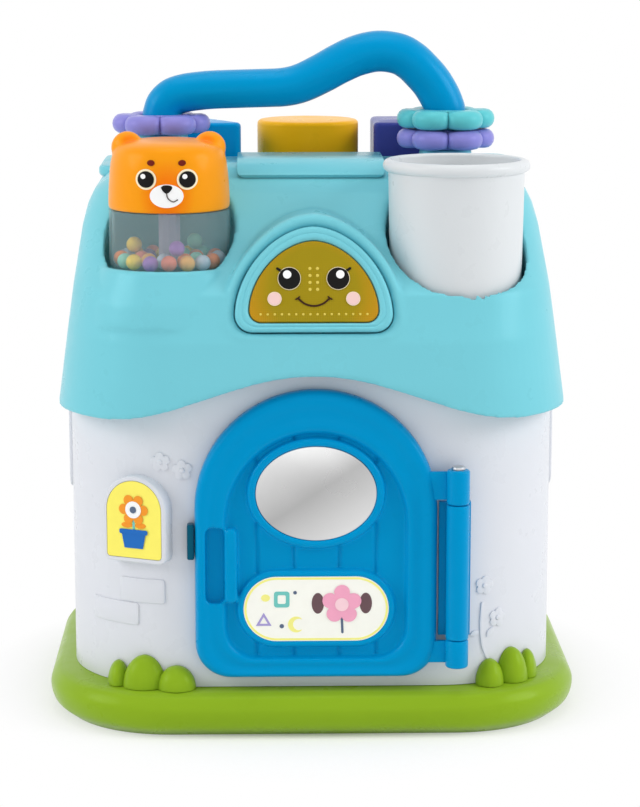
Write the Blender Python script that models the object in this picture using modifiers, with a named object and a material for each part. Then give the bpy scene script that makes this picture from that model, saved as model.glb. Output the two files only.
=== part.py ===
"""A baby's activity house: a green base, white walls and an aqua roof.

The roof carries a lift-out rattle, a cup, three shape blocks, a push button with a smiling face, and a
handle with three loose flower rings. The door swings on a pin at its right. Metres, +Z up, -Y is the
front, and the origin is the middle of the underside.
"""

import math

import bmesh
import bpy
from mathutils import Matrix, Vector

# Clearances and settings that many pieces share
CLEARANCE = 0.0003
OVERRUN = 0.004
MERGE_DISTANCE = 0.00001
SHARP_ANGLE = math.radians(35)
QUARTER_TURN = math.radians(90)
FULL_TURN = math.radians(360)

# The face, the rattle's pocket and the cup stand side by side and set the toy's width
BEZEL_HALF_WIDTH = 0.0395
RATTLE_RADIUS = 0.0296
POCKET_ROOM = 0.0022
RATTLE_TUCK = 0.0013
CUP_RIM_RADIUS = 0.036
CUP_TUCK = 0.005
ROOF_SIDE_ROOM = 0.0192
RATTLE_ACROSS = RATTLE_TUCK - BEZEL_HALF_WIDTH - RATTLE_RADIUS - POCKET_ROOM
CUP_ACROSS = BEZEL_HALF_WIDTH + CUP_RIM_RADIUS - CUP_TUCK
WALL_HALF_WIDTH = RATTLE_RADIUS + POCKET_ROOM + ROOF_SIDE_ROOM - RATTLE_ACROSS

# Base: a pebble-shaped tray, closed below by a plate
BASE_LEDGE = 0.012
BASE_HALF_WIDTH = WALL_HALF_WIDTH + BASE_LEDGE
BASE_HALF_DEPTH = 0.112
BASE_HEIGHT = 0.022
BASE_CORNER_RADIUS = 0.063
BASE_FLOOR = 0.004
BASE_SKIRT = 0.005
BASE_PLATE_THICKNESS = 0.003
# Each pair is a height and a draw-in, both as shares of the base's height
BASE_PROFILE_SHARES = ((0, 0.41), (0.27, 0.09), (0.64, 0), (0.91, 0.14), (1, 0.32))

# House walls
WALL_HALF_DEPTH = 0.096
WALL_CORNER_RADIUS = 0.060
WALL_THICKNESS = 0.003
WALL_SHOULDER = 0.160
WALL_TOP = 0.184
WALL_TOP_INSET = 0.0025
SIDE_PANEL_PROUD = 0.002
SIDE_PANEL_LOW = 0.109
SIDE_PANEL_HIGH = 0.156
SIDE_PANEL_HALF_LENGTH = 0.034
SIDE_PANEL_CORNER_RADIUS = 0.008

# Doorway, and the door that covers it
DOOR_CENTRE = 0.001
DOOR_HALF_WIDTH = 0.059
DOOR_BOTTOM = 0.0285
DOOR_SPRING_LINE = 0.1126
DOOR_FOOT_RADIUS = 0.017
DOOR_THICKNESS = 0.0077
DOOR_RING_SIDE = 0.014
DOOR_RING_FOOT = 0.009
DOOR_RING_CROWN = 0.021
DOOR_PANEL_DEPTH = 0.003
DOOR_EDGE = 0.0016
DOORWAY_LAP = 0.011
DOORWAY_SILL = 0.006
DOORWAY_CORNER_RADIUS = 0.002
PLANK_GROOVE_WIDTH = 0.0014
PLANK_GROOVE_DEPTH = 0.0008
PLANK_GROOVE_SHARES = (-0.49, -0.17, 0.22, 0.58)

# Mirror, label and pull on the door
LABEL_HEIGHT = 0.0635
LABEL_SIDE_ROOM = 0.0096
LABEL_HALF_WIDTH = DOOR_HALF_WIDTH - DOOR_RING_SIDE - LABEL_SIDE_ROOM
LABEL_HALF_HEIGHT = 0.01615
LABEL_THICKNESS = 0.0006
LABEL_RIM = 0.0031
MIRROR_ABOVE_LABEL = 0.01095
MIRROR_SIDE_ROOM = 0.0156
MIRROR_HALF_WIDTH = DOOR_HALF_WIDTH - DOOR_RING_SIDE - MIRROR_SIDE_ROOM
MIRROR_HALF_HEIGHT = 0.0233
MIRROR_THICKNESS = 0.001
MIRROR_RIM = 0.004
MIRROR_RIM_EDGE = 0.0008
MIRROR_HEIGHT = (
    LABEL_HEIGHT + LABEL_HALF_HEIGHT + LABEL_RIM + MIRROR_ABOVE_LABEL + MIRROR_RIM + MIRROR_HALF_HEIGHT
)
PULL_LOW = 0.0664
PULL_HIGH = 0.1041
PULL_WIDTH = 0.0062
PULL_PROUD = 0.0008
PULL_CORNER_SHARE = 0.33
PULL_INSET = 0.003
SCOOP_WIDTH = 0.0105
SCOOP_FLOOR = 0.0022

# Door hinge and catch
HINGE_REACH = 0.0097
HINGE_ACROSS = DOOR_CENTRE + DOOR_HALF_WIDTH + HINGE_REACH
HINGE_FRONT = 0.105
KNUCKLE_RADIUS = 0.0056
PIN_RADIUS = 0.0016
PIN_HEAD_RADIUS = 0.0034
PIN_HEAD_HEIGHT = 0.0018
PIN_CROWN_SHARE = 0.7
KNUCKLE_LOW = 0.0344
BARREL_LOW = 0.0487
BARREL_HIGH = 0.1157
KNUCKLE_HIGH = 0.133
HINGE_ARM_LAP = 0.006
HINGE_ARM_INSET = 0.0015
# The arms' front and back, as shares of the door's thickness
HINGE_ARM_SHARES = (0.9, 0.5)
HINGE_FOOT_HALF_WIDTH = 0.0068
HINGE_FOOT_THICKNESS = 0.0024
HINGE_WEB_HALF_WIDTH = 0.0032
CATCH_LOW = 0.088
CATCH_HIGH = 0.1056
CATCH_WIDTH = 0.0034
CATCH_DEPTH = 0.0062

# Window plaque on the left front corner, its turn measured along the wall from the door's edge
PLAQUE_HALF_WIDTH = 0.017
PLAQUE_FROM_DOOR = 0.01113
PLAQUE_FROM_MIDDLE = DOOR_HALF_WIDTH - DOOR_CENTRE + PLAQUE_FROM_DOOR + PLAQUE_HALF_WIDTH
PLAQUE_TURN = (PLAQUE_FROM_MIDDLE - WALL_HALF_WIDTH + WALL_CORNER_RADIUS) / WALL_CORNER_RADIUS
PLAQUE_BOTTOM = 0.0854
PLAQUE_TOP = 0.1284
PLAQUE_FOOT_RADIUS = 0.004
PLAQUE_PROUD = 0.0055
PLAQUE_EDGE = 0.0008
PLAQUE_ROOT_SHARE = 0.93
WINDOW_MARGIN = 0.0034
WINDOW_DEPTH = 0.0008
WINDOW_THICKNESS = 0.0005

# Bushes on the base's front corners. Each lump is a place in from the base's side, a radius and a
# rise above the base.
BUSH_LEFT_LUMPS = ((0.0497, 0.0108, 0.0160), (0.0365, 0.0055, 0.0115), (0.0655, 0.0095, 0.0115))
BUSH_RIGHT_LUMPS = ((0.0347, 0.0085, 0.0165), (0.0460, 0.0072, 0.0125), (0.0258, 0.0050, 0.0130))
BUSH_DEPTH = 0.0085
BUSH_STEPS = 14
BUSH_STAND_OFF = 0.0015

# Roof: each ring's height, reach past the walls' sides, front, back and corner radius
ROOF_TABLE = (
    (0.157, 0.0055, 0.111, 0.111, 0.062),
    (0.175, 0.0030, 0.109, 0.1085, 0.060),
    (0.195, 0.0003, 0.106, 0.106, 0.057),
    (0.217, -0.0028, 0.098, 0.103, 0.050),
    (0.244, -0.0064, 0.065, 0.100, 0.038),
    (0.254, -0.0088, 0.053, 0.0985, 0.034),
    (0.261, -0.0122, 0.044, 0.097, 0.030),
    (0.267, -0.0190, 0.034, 0.095, 0.026),
    (0.2715, -0.0265, 0.0235, 0.090, 0.022),
    (0.2735, -0.0325, 0.016, 0.086, 0.018),
)
ROOF_RINGS = [
    (height, WALL_HALF_WIDTH + reach, front, back, radius)
    for height, reach, front, back, radius in ROOF_TABLE
]
ROOF_THICKNESS = 0.003
ROOF_FIT = 0.0007
HEM_RISE = 0.022
HEM_HALF_SPAN = 0.105
DECK_LEVEL = 0.262
CREST_BACK = 0.019

# Bin under the sorter lid, and the lid with its tongue over the crest
BIN_HALF_WIDTH = 0.093
BIN_FRONT = 0.0235
BIN_BACK = 0.087
BIN_CORNER_RADIUS = 0.018
BIN_FLOOR = 0.246
LID_HALF_WIDTH = 0.1098
LID_BACK = 0.094
LID_THICKNESS = 0.006
LID_CORNER_RADIUS = 0.012
TONGUE_HALF_WIDTH = 0.037
TONGUE_THICKNESS = 0.0015
TONGUE_LEAN_SHARE = 0.6

# Blocks: flat front face, height, and the room that each hole gives
BLOCK_FRONT = 0.0275
BLOCK_HEIGHT = 0.0437
BLOCK_HOLE_ROOM = 0.0008
BLOCK_WALL = 0.0022
TRIANGLE_ACROSS = -0.0585
TRIANGLE_SIDE = 0.052
TRIANGLE_CORNER_RADIUS = 0.004
CYLINDER_ACROSS = 0.0
CYLINDER_RADIUS = 0.0268
SQUARE_ACROSS = 0.058
SQUARE_SIDE = 0.048
SQUARE_CORNER_RADIUS = 0.004

# Rattle and the pocket that holds it
RATTLE_FRONT = 0.061
POCKET_FLOOR = 0.2245
POCKET_LIP_TOP = 0.2268
POCKET_LIP_WIDTH = 0.0028
POCKET_LIP_DEPTH = 0.014
POCKET_LIP_FLARE = 0.007
DRUM_RIM = 0.255
DRUM_WALL = 0.0014
POST_RADIUS = 0.0055
HEAD_TOP = 0.2893
HEAD_WALL = 0.0024
# Each pair is a share of the head's height and a share of the rattle's radius
HEAD_PROFILE_SHARES = ((1, 0), (0.99, 0.44), (0.95, 0.72), (0.86, 0.88), (0.64, 0.96), (0.28, 0.995), (0, 1))
EAR_SPREAD = 0.0200
EAR_HEIGHT = 0.2848
EAR_RADIUS = 0.0080
EAR_HALF_DEPTH = 0.0062
BEAD_RADIUS = 0.0038
BEAD_RING_RADIUS = 0.0215
BEAD_COUNT = 22
BEAD_STEPS = 6

# Cup and the socket that holds it
CUP_FRONT = 0.063
CUP_RADIUS = 0.0333
CUP_RIM_HEIGHT = 0.0062
CUP_TOP = 0.2792
CUP_WALL = 0.0022
CUP_DRAFT = 0.0012
SOCKET_ROOM = 0.0012
SOCKET_FLOOR = 0.196

# Hump in the roof's front, and the face button that slides in it
FACE_TILT = math.radians(20)
FACE_FRONT = 0.1035
FACE_FOOT = 0.1975
HUMP_ROOM = 0.003
# Each hump ring is a depth, a spread at the sides, a drop at the foot and a rise at the top
HUMP_RINGS = (
    (0.0, 0.0, 0.0, 0.0),
    (0.002, 0.0015, 0.0015, 0.0015),
    (0.012, 0.006, 0.005, 0.006),
    (0.030, 0.018, 0.012, 0.014),
)
HUMP_WALL = 0.004
BEZEL_HEIGHT = 0.055
BEZEL_CORNER_RADIUS = 0.010
BEZEL_PROUD = 0.004
BEZEL_EDGE = 0.0015
BEZEL_FLANGE = 0.002
BEZEL_FLANGE_THICKNESS = 0.0015
BUTTON_ROOM = 0.0004
BUTTON_TRAVEL = 0.0025
LENS_RING = 0.0075
LENS_SEAT = 0.0016
LENS_THICKNESS = 0.0026
LENS_SET_BACK = 0.0006
CHAMBER_ROOM = 0.0028
CHAMBER_DEPTH = 0.016
CHAMBER_WALL = 0.0025
BOARD_HALF_WIDTH = 0.030
BOARD_CORNER_RADIUS = 0.006
BOARD_LAP = 0.0017
BOARD_THICKNESS = 0.0016
BOARD_ROOM = 0.024
SPRING_RADIUS = 0.0030
SPRING_WIRE = 0.0004
SPRING_TURN_COUNT = 4
SPRING_STEPS = 8
SPRING_ACROSS = 0.0358
SPRING_UP = 0.0145
# The light's lens, from its tip: each pair is a share of its radius and a share of its height
LED_PROFILE_SHARES = ((0, 1), (0.7, 0.9), (1, 0.6), (1, 0), (0, 0))
LED_RADIUS = 0.0025
LED_HEIGHT = 0.006
SWITCH_HALF_SIZE = 0.003
SWITCH_HEIGHT = 0.0032
SWITCH_UP = 0.0045
PLUNGER_RADIUS = 0.0016
SPEAKER_RADIUS = 0.014
SPEAKER_THICKNESS = 0.005

# Handle: its centre line as shares of the way from its left leg to its right, and of its rise
HANDLE_RADIUS = 0.00975
HANDLE_RISE = 0.0493
HANDLE_SEAT_HEIGHT = 0.0055
HANDLE_LEVEL = ROOF_RINGS[-1][0] + HANDLE_SEAT_HEIGHT
LEFT_LEG_INSET = 0.0453
RIGHT_LEG_INSET = 0.0515
LEFT_LEG_ACROSS = LEFT_LEG_INSET - WALL_HALF_WIDTH
RIGHT_LEG_ACROSS = WALL_HALF_WIDTH - RIGHT_LEG_INSET
HANDLE_SHARES = (
    (0, 0.3), (0.004, 0.375), (0.014, 0.456), (0.041, 0.532), (0.08, 0.571),
    (0.13, 0.594), (0.2039, 0.6105), (0.3609, 0.6227), (0.4394, 0.637), (0.4979, 0.6815),
    (0.5647, 0.775), (0.6274, 0.876), (0.6901, 0.957), (0.761, 1), (0.8313, 0.9736),
    (0.8788, 0.8966), (0.9139, 0.799), (0.9449, 0.698), (0.9711, 0.58), (0.9905, 0.46),
    (1, 0.34),
)
HANDLE_ROUTE_STEPS = 2
COLLAR_RADIUS = 0.0135
COLLAR_HEIGHT = 0.0075

# Flower rings threaded on the handle's legs
RING_RADIUS = 0.0222
RING_LOBE = 0.0028
RING_LOBE_COUNT = 6
RING_BORE = 0.0117
RING_THICKNESS = 0.0098
RING_EDGE = 0.002

# Battery box in the rear wall
BATTERY_HEIGHT = 0.100
BATTERY_RADIUS = 0.00725
BATTERY_LENGTH = 0.0505
BATTERY_NIB_RADIUS = 0.0027
BATTERY_NIB = 0.0012
BATTERY_PITCH = 0.015
BATTERY_COUNT = 3
BATTERY_SHIFT = 0.0065
BOX_HALF_WIDTH = 0.0275
BOX_HALF_HEIGHT = 0.0305
BOX_DEPTH = 0.0162
BOX_WALL = 0.002
BOX_LIP = 0.004
COVER_LAP = 0.0012
COVER_SCREW_BELOW = 0.0245

# Screws and the bosses that they bite in
SCREW_RADIUS = 0.0015
SCREW_HEAD_RADIUS = 0.0028
SCREW_HEAD_HEIGHT = 0.002
SCREW_LENGTH = 0.014
SCREW_HOLE_ROOM = 0.0004
BOSS_RADIUS = 0.005
BOSS_DEPTH = 0.018
BOSS_LAP = 0.001
BASE_SCREW_FROM_MIDDLE = 0.026
FRONT_TAB_INSET = 0.017
FRONT_TAB_ACROSS = WALL_HALF_WIDTH - FRONT_TAB_INSET
FRONT_TAB_FRONT = 0.015
REAR_TAB_ACROSS = 0.060
REAR_TAB_BACK = 0.084
TAB_HALF_WIDTH = 0.006
TAB_THICKNESS = 0.0035

# Smoothness of round shapes
CORNER_STEPS = 6
ARCH_STEPS = 16
ROUND_STEPS = 24
SMALL_ROUND_STEPS = 10
BLOCK_CORNER_STEPS = 3
RING_STEPS_PER_LOBE = 6
HANDLE_BEVEL_STEPS = 2
SPRING_BEVEL_STEPS = 1

# Colours, as shown on a screen
AQUA = (0.48, 0.78, 0.83)
BLUE = (0.0, 0.56, 0.78)
GREEN = (0.55, 0.71, 0.16)
ORANGE = (0.98, 0.64, 0.11)
YELLOW = (0.90, 0.68, 0.10)
DEEP_BLUE = (0.0, 0.50, 0.75)
VIOLET = (0.25, 0.30, 0.60)
LILAC = (0.54, 0.53, 0.80)
TEAL = (0.40, 0.77, 0.80)
WHITE = (0.87, 0.88, 0.90)
IVORY = (0.98, 0.96, 0.85)
OLIVE_GOLD = (0.68, 0.58, 0.11)
SILVER = (0.78, 0.79, 0.80)
STEEL = (0.60, 0.61, 0.63)
BOARD_GREEN = (0.10, 0.35, 0.18)
BLACK = (0.05, 0.05, 0.05)
CLEAR = (0.85, 0.93, 0.95)
DARK_TEAL = (0.10, 0.35, 0.40)


def clear_scene():
    for old in list(bpy.data.objects):
        bpy.data.objects.remove(old)


def new_collection(name):
    made = bpy.data.collections.new(name)
    bpy.context.scene.collection.children.link(made)
    return made


clear_scene()
PARTS = new_collection("activity_house_toy")
CUTTERS = new_collection("cutters")


def finish(name, colour, roughness=0.35, metallic=0.0, alpha=1.0):
    """A moulded-plastic, metal or clear material of one colour."""
    made = bpy.data.materials.new(name)
    made.use_nodes = True
    shader = made.node_tree.nodes["Principled BSDF"]
    shader.inputs["Base Color"].default_value = (*(channel**2.2 for channel in colour), 1)
    shader.inputs["Roughness"].default_value = roughness
    shader.inputs["Metallic"].default_value = metallic
    shader.inputs["Alpha"].default_value = alpha
    return made


def place_object(name, shape, look=None, matrix=None):
    """Links a shape as a sub-part when it has a look, and else as a hidden cutter or addition."""
    bmesh.ops.recalc_face_normals(shape, faces=shape.faces)
    mesh = bpy.data.meshes.new(name)
    shape.to_mesh(mesh)
    shape.free()
    mesh.shade_smooth()
    mesh.set_sharp_from_angle(angle=SHARP_ANGLE)
    return place_mesh(name, mesh, look, matrix)


def place_mesh(name, mesh, look=None, matrix=None):
    made = bpy.data.objects.new(name, mesh)
    made.matrix_world = matrix or Matrix()
    if look:
        mesh.materials.append(finish(name, *look) if isinstance(look, tuple) else look)
        PARTS.objects.link(made)
    else:
        CUTTERS.objects.link(made)
        made.hide_render = True
        made.display_type = "WIRE"
    return made


def boolean(target, operation, *others):
    for other in others:
        modifier = target.modifiers.new(f"{operation.lower()} {other.name}", "BOOLEAN")
        modifier.operation = operation
        modifier.solver = "EXACT"
        modifier.object = other
    return target


def cut(target, *cutters):
    return boolean(target, "DIFFERENCE", *cutters)


def join(target, *additions):
    return boolean(target, "UNION", *additions)


def box(name, low, high, look=None, matrix=None):
    low, high = Vector(low), Vector(high)
    shape = bmesh.new()
    bmesh.ops.create_cube(shape, size=1)
    bmesh.ops.scale(shape, vec=high - low, verts=shape.verts)
    bmesh.ops.translate(shape, vec=(low + high) / 2, verts=shape.verts)
    return place_object(name, shape, look, matrix)


def rod(name, at, radius, low, high, look=None, matrix=None, steps=ROUND_STEPS):
    """A cylinder along its own Z from low to high."""
    shape = bmesh.new()
    bmesh.ops.create_cone(
        shape, cap_ends=True, segments=steps, radius1=radius, radius2=radius, depth=high - low
    )
    bmesh.ops.translate(shape, vec=(at[0], at[1], (low + high) / 2), verts=shape.verts)
    return place_object(name, shape, look, matrix)


def ellipsoid(name, centre, radii, look=None, steps=SMALL_ROUND_STEPS, matrix=None):
    shape = bmesh.new()
    bmesh.ops.create_uvsphere(shape, u_segments=steps, v_segments=steps // 2 + 1, radius=1)
    bmesh.ops.scale(shape, vec=radii, verts=shape.verts)
    bmesh.ops.translate(shape, vec=centre, verts=shape.verts)
    return place_object(name, shape, look, matrix)


def turned(name, profile, look=None, matrix=None, steps=ROUND_STEPS):
    """Turns (radius, height) points, given down the outer side first, round the object's own Z."""
    mesh = bpy.data.meshes.new(name)
    edges = [(index, index + 1) for index in range(len(profile) - 1)]
    mesh.from_pydata([(radius, 0, height) for radius, height in profile], edges, [])
    made = place_mesh(name, mesh, look, matrix)
    screw = made.modifiers.new("turn", "SCREW")
    screw.steps = screw.render_steps = steps
    screw.use_merge_vertices = True
    screw.merge_threshold = MERGE_DISTANCE
    return made


def plate(name, loops, low, high, look=None, matrix=None, edge=0.0, place=None):
    """A flat outline, with holes if more loops follow, that is solid from low to high on its own Z."""
    curve = bpy.data.curves.new(name, "CURVE")
    curve.dimensions = "2D"
    curve.fill_mode = "BOTH"
    curve.extrude = (high - low) / 2
    for loop in map(no_doubles, loops):
        spline = curve.splines.new("POLY")
        spline.points.add(len(loop) - 1)
        for point, (across, up) in zip(spline.points, loop):
            point.co = (across, up, 0, 1)
        spline.use_cyclic_u = True
    drawn = bpy.data.objects.new(name, curve)
    CUTTERS.objects.link(drawn)
    shape = mesh_of(drawn)
    bmesh.ops.translate(shape, vec=(0, 0, (low + high) / 2), verts=shape.verts)
    if place:
        shape.transform(place)
    made = place_object(name, shape, look, matrix)
    if edge:
        bevel = made.modifiers.new("round edge", "BEVEL")
        bevel.width = edge
        bevel.segments = 1
        bevel.angle_limit = SHARP_ANGLE
    return made


def no_doubles(points):
    """The points of a closed outline, without one that lies on the one before it."""
    return [
        point
        for point, before in zip(points, points[-1:] + points[:-1])
        if math.dist(point, before) > MERGE_DISTANCE
    ]


def mesh_of(drawn):
    """The evaluated mesh of a curve, welded and flattened, with the curve removed."""
    graph = bpy.context.evaluated_depsgraph_get()
    mesh = bpy.data.meshes.new_from_object(drawn.evaluated_get(graph))
    bpy.data.objects.remove(drawn)
    shape = bmesh.new()
    shape.from_mesh(mesh)
    bpy.data.meshes.remove(mesh)
    bmesh.ops.remove_doubles(shape, verts=shape.verts, dist=MERGE_DISTANCE)
    bmesh.ops.dissolve_limit(
        shape, angle_limit=math.radians(1), verts=shape.verts, edges=shape.edges, delimit={"NORMAL"}
    )
    return shape


def loft(name, rings, look=None, matrix=None):
    """A solid through rings of points, which all have the same number of points."""
    shape = bmesh.new()
    rows = [[shape.verts.new(point) for point in ring] for ring in rings]
    for row, above in zip(rows, rows[1:]):
        for index in range(len(row)):
            after = (index + 1) % len(row)
            shape.faces.new((row[index], row[after], above[after], above[index]))
    shape.faces.new(rows[0])
    shape.faces.new(rows[-1])
    return place_object(name, shape, look, matrix)


def arc(centre, radii, start, end, steps):
    """Points of an ellipse from one angle to the other."""
    return [
        (
            centre[0] + radii[0] * math.cos(start + (end - start) * step / steps),
            centre[1] + radii[1] * math.sin(start + (end - start) * step / steps),
        )
        for step in range(steps + 1)
    ]


def ellipse(centre, radii, steps=ROUND_STEPS):
    return arc(centre, radii, 0, FULL_TURN, steps)[:-1]


def rounded_rectangle(left, right, low, high, radius, steps=CORNER_STEPS):
    radius = min(radius, (right - left) / 2, (high - low) / 2)
    corners = (
        (right - radius, high - radius, 0),
        (left + radius, high - radius, QUARTER_TURN),
        (left + radius, low + radius, 2 * QUARTER_TURN),
        (right - radius, low + radius, 3 * QUARTER_TURN),
    )
    return [
        point
        for across, up, start in corners
        for point in arc((across, up), (radius, radius), start, start + QUARTER_TURN, steps)
    ]


def arched_outline(centre, half_width, foot, spring_line, crown, foot_radius):
    """A doorway's outline: an arch over round bottom corners."""
    foot_radius = min(foot_radius, half_width)
    left, right = centre - half_width, centre + half_width
    return (
        arc((centre, spring_line), (half_width, crown - spring_line), 0, 2 * QUARTER_TURN, ARCH_STEPS)
        + arc((left + foot_radius, foot + foot_radius), (foot_radius, foot_radius),
              2 * QUARTER_TURN, 3 * QUARTER_TURN, CORNER_STEPS)
        + arc((right - foot_radius, foot + foot_radius), (foot_radius, foot_radius),
              3 * QUARTER_TURN, FULL_TURN, CORNER_STEPS)
    )


def dome_outline(half_width, foot, height, corner):
    """The face button's outline: half an ellipse over small round bottom corners."""
    return arched_outline(0, half_width, foot, foot + corner, foot + height, corner)


def ring_at(height, half_width, front, back, radius):
    return [
        (across, along, height)
        for across, along in rounded_rectangle(-half_width, half_width, -front, back, radius)
    ]


def facing_front(front):
    """Places a flat outline upright, facing the front, with its own Z measured out from that plane."""
    return Matrix.Translation((0, -front, 0)) @ Matrix.Rotation(QUARTER_TURN, 4, "X")


def screw_piece(name, matrix, length=SCREW_LENGTH):
    """A screw with its head's underside at its own origin and its shank along +Z."""
    return turned(
        name,
        (
            (0, length),
            (SCREW_RADIUS, length),
            (SCREW_RADIUS, 0),
            (SCREW_HEAD_RADIUS, 0),
            (SCREW_HEAD_RADIUS, -SCREW_HEAD_HEIGHT),
            (0, -SCREW_HEAD_HEIGHT),
        ),
        (STEEL, 0.3, 1.0),
        matrix,
        SMALL_ROUND_STEPS,
    )


SCREW_HOLE_RADIUS = SCREW_RADIUS + SCREW_HOLE_ROOM
WALL_BOTTOM = BASE_HEIGHT + CLEARANCE


def base_outline(inset):
    return rounded_rectangle(
        inset - BASE_HALF_WIDTH,
        BASE_HALF_WIDTH - inset,
        inset - BASE_HALF_DEPTH,
        BASE_HALF_DEPTH - inset,
        BASE_CORNER_RADIUS - inset,
    )


def base_screw_places():
    across = WALL_HALF_WIDTH - WALL_THICKNESS - BOSS_RADIUS + BOSS_LAP
    return [(x * across, y * BASE_SCREW_FROM_MIDDLE) for y in (-1, 1) for x in (-1, 1)]


def roof_screw_places():
    front = [(side * FRONT_TAB_ACROSS, -FRONT_TAB_FRONT) for side in (-1, 1)]
    rear = [(side * REAR_TAB_ACROSS, REAR_TAB_BACK) for side in (-1, 1)]
    return front + rear


def make_base():
    rings = [
        [(x, y, height * BASE_HEIGHT) for x, y in base_outline(inset * BASE_HEIGHT)]
        for height, inset in BASE_PROFILE_SHARES
    ]
    tray = loft("base_tray", rings, (GREEN, 0.4))
    hollow = BASE_PROFILE_SHARES[0][1] * BASE_HEIGHT + BASE_SKIRT
    under_floor = BASE_HEIGHT - BASE_FLOOR
    cut(tray, plate("base_hollow", [base_outline(hollow)], -OVERRUN, under_floor))
    plate("base_plate", [base_outline(hollow + CLEARANCE)], 0, BASE_PLATE_THICKNESS, (GREEN, 0.5))
    for number, at in enumerate(base_screw_places(), 1):
        hole = rod(f"base_hole_{number}", at, SCREW_HOLE_RADIUS, under_floor - OVERRUN,
                   BASE_HEIGHT + OVERRUN, steps=SMALL_ROUND_STEPS)
        cut(tray, hole)
        place = Matrix.Translation((*at, under_floor - CLEARANCE))
        screw_piece(f"base_screw_{number}", place)


def wall_arc_point(across, out):
    """The place out from the walls' front, at this distance across, on the front or a corner."""
    bend = WALL_HALF_WIDTH - WALL_CORNER_RADIUS
    radius = WALL_CORNER_RADIUS + out
    along = math.sqrt(max(radius**2 - max(abs(across) - bend, 0) ** 2, 0))
    return -(WALL_HALF_DEPTH - WALL_CORNER_RADIUS) - along


def wall_room():
    """What stands against the walls is cut back by their outline and a clearance."""
    reach = -CLEARANCE
    outline = rounded_rectangle(
        reach - WALL_HALF_WIDTH, WALL_HALF_WIDTH - reach,
        reach - WALL_HALF_DEPTH, WALL_HALF_DEPTH - reach, WALL_CORNER_RADIUS - reach,
    )
    return plate("wall_room", [outline], 0, WALL_TOP)


def make_bushes(room):
    for name, side, shapes in (("bush_left", -1, BUSH_LEFT_LUMPS), ("bush_right", 1, BUSH_RIGHT_LUMPS)):
        lumps = []
        for number, (inset, radius, rise) in enumerate(shapes, 1):
            across = side * (BASE_HALF_WIDTH - inset)
            centre = (across, wall_arc_point(across, BUSH_STAND_OFF), WALL_BOTTOM)
            radii = (radius, BUSH_DEPTH, rise - CLEARANCE)
            look = (GREEN, 0.45) if number == 1 else None
            lumps.append(ellipsoid(name if look else f"{name}_lump_{number}", centre, radii, look,
                                   BUSH_STEPS))
        join(lumps[0], *lumps[1:])
        ground = box(f"{name}_ground", (-BASE_HALF_WIDTH, -BASE_HALF_DEPTH, -BASE_HEIGHT),
                     (BASE_HALF_WIDTH, 0, WALL_BOTTOM))
        cut(lumps[0], ground, room)


def wall_rings(inset, low, high):
    half_width, half_depth = WALL_HALF_WIDTH - inset, WALL_HALF_DEPTH - inset
    radius = WALL_CORNER_RADIUS - inset
    return [
        ring_at(low, half_width, half_depth, half_depth, radius),
        ring_at(WALL_SHOULDER, half_width, half_depth, half_depth, radius),
        ring_at(high, half_width - WALL_TOP_INSET, half_depth, half_depth, radius),
    ]


def plaque_place():
    bend = (WALL_CORNER_RADIUS - WALL_HALF_WIDTH, WALL_CORNER_RADIUS - WALL_HALF_DEPTH, 0)
    turn = Matrix.Rotation(-PLAQUE_TURN, 4, "Z")
    return Matrix.Translation(bend) @ turn @ facing_front(WALL_CORNER_RADIUS)


def plaque_outline(inset):
    half_width = PLAQUE_HALF_WIDTH - inset
    spring_line = PLAQUE_TOP - PLAQUE_HALF_WIDTH
    foot_radius = max(PLAQUE_FOOT_RADIUS - inset, CLEARANCE)
    return arched_outline(0, half_width, PLAQUE_BOTTOM + inset, spring_line, PLAQUE_TOP - inset, foot_radius)


def make_walls():
    hollow = loft("house_hollow", wall_rings(WALL_THICKNESS, WALL_BOTTOM - OVERRUN, WALL_TOP + OVERRUN))
    panels = [
        plate(
            f"side_panel_{side}",
            [rounded_rectangle(-SIDE_PANEL_HALF_LENGTH, SIDE_PANEL_HALF_LENGTH, SIDE_PANEL_LOW,
                               SIDE_PANEL_HIGH, SIDE_PANEL_CORNER_RADIUS)],
            WALL_HALF_WIDTH - WALL_THICKNESS / 2,
            WALL_HALF_WIDTH + SIDE_PANEL_PROUD,
            place=Matrix.Rotation(side * QUARTER_TURN, 4, "Z") @ Matrix.Rotation(QUARTER_TURN, 4, "X"),
        )
        for side in (-1, 1)
    ]
    walls = []
    for name, side in (("front_wall", -1), ("rear_wall", 1)):
        wall = loft(name, wall_rings(0, WALL_BOTTOM, WALL_TOP), (WHITE, 0.35))
        join(wall, *panels)
        near, far = -side * (WALL_HALF_DEPTH + OVERRUN), side * CLEARANCE / 2
        half = box(f"{name}_other_half", (-BASE_HALF_WIDTH, min(near, far), 0),
                   (BASE_HALF_WIDTH, max(near, far), WALL_TOP + OVERRUN))
        cut(wall, hollow, half)
        walls.append(wall)
    add_wall_bosses(walls)
    finish_front_wall(walls[0])
    opening = box(
        "battery_opening",
        (-BOX_HALF_WIDTH - COVER_LAP, WALL_HALF_DEPTH - WALL_THICKNESS - OVERRUN,
         BATTERY_HEIGHT - BOX_HALF_HEIGHT - COVER_LAP),
        (BOX_HALF_WIDTH + COVER_LAP, WALL_HALF_DEPTH + OVERRUN,
         BATTERY_HEIGHT + BOX_HALF_HEIGHT + COVER_LAP),
    )
    cut(walls[1], opening)


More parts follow.
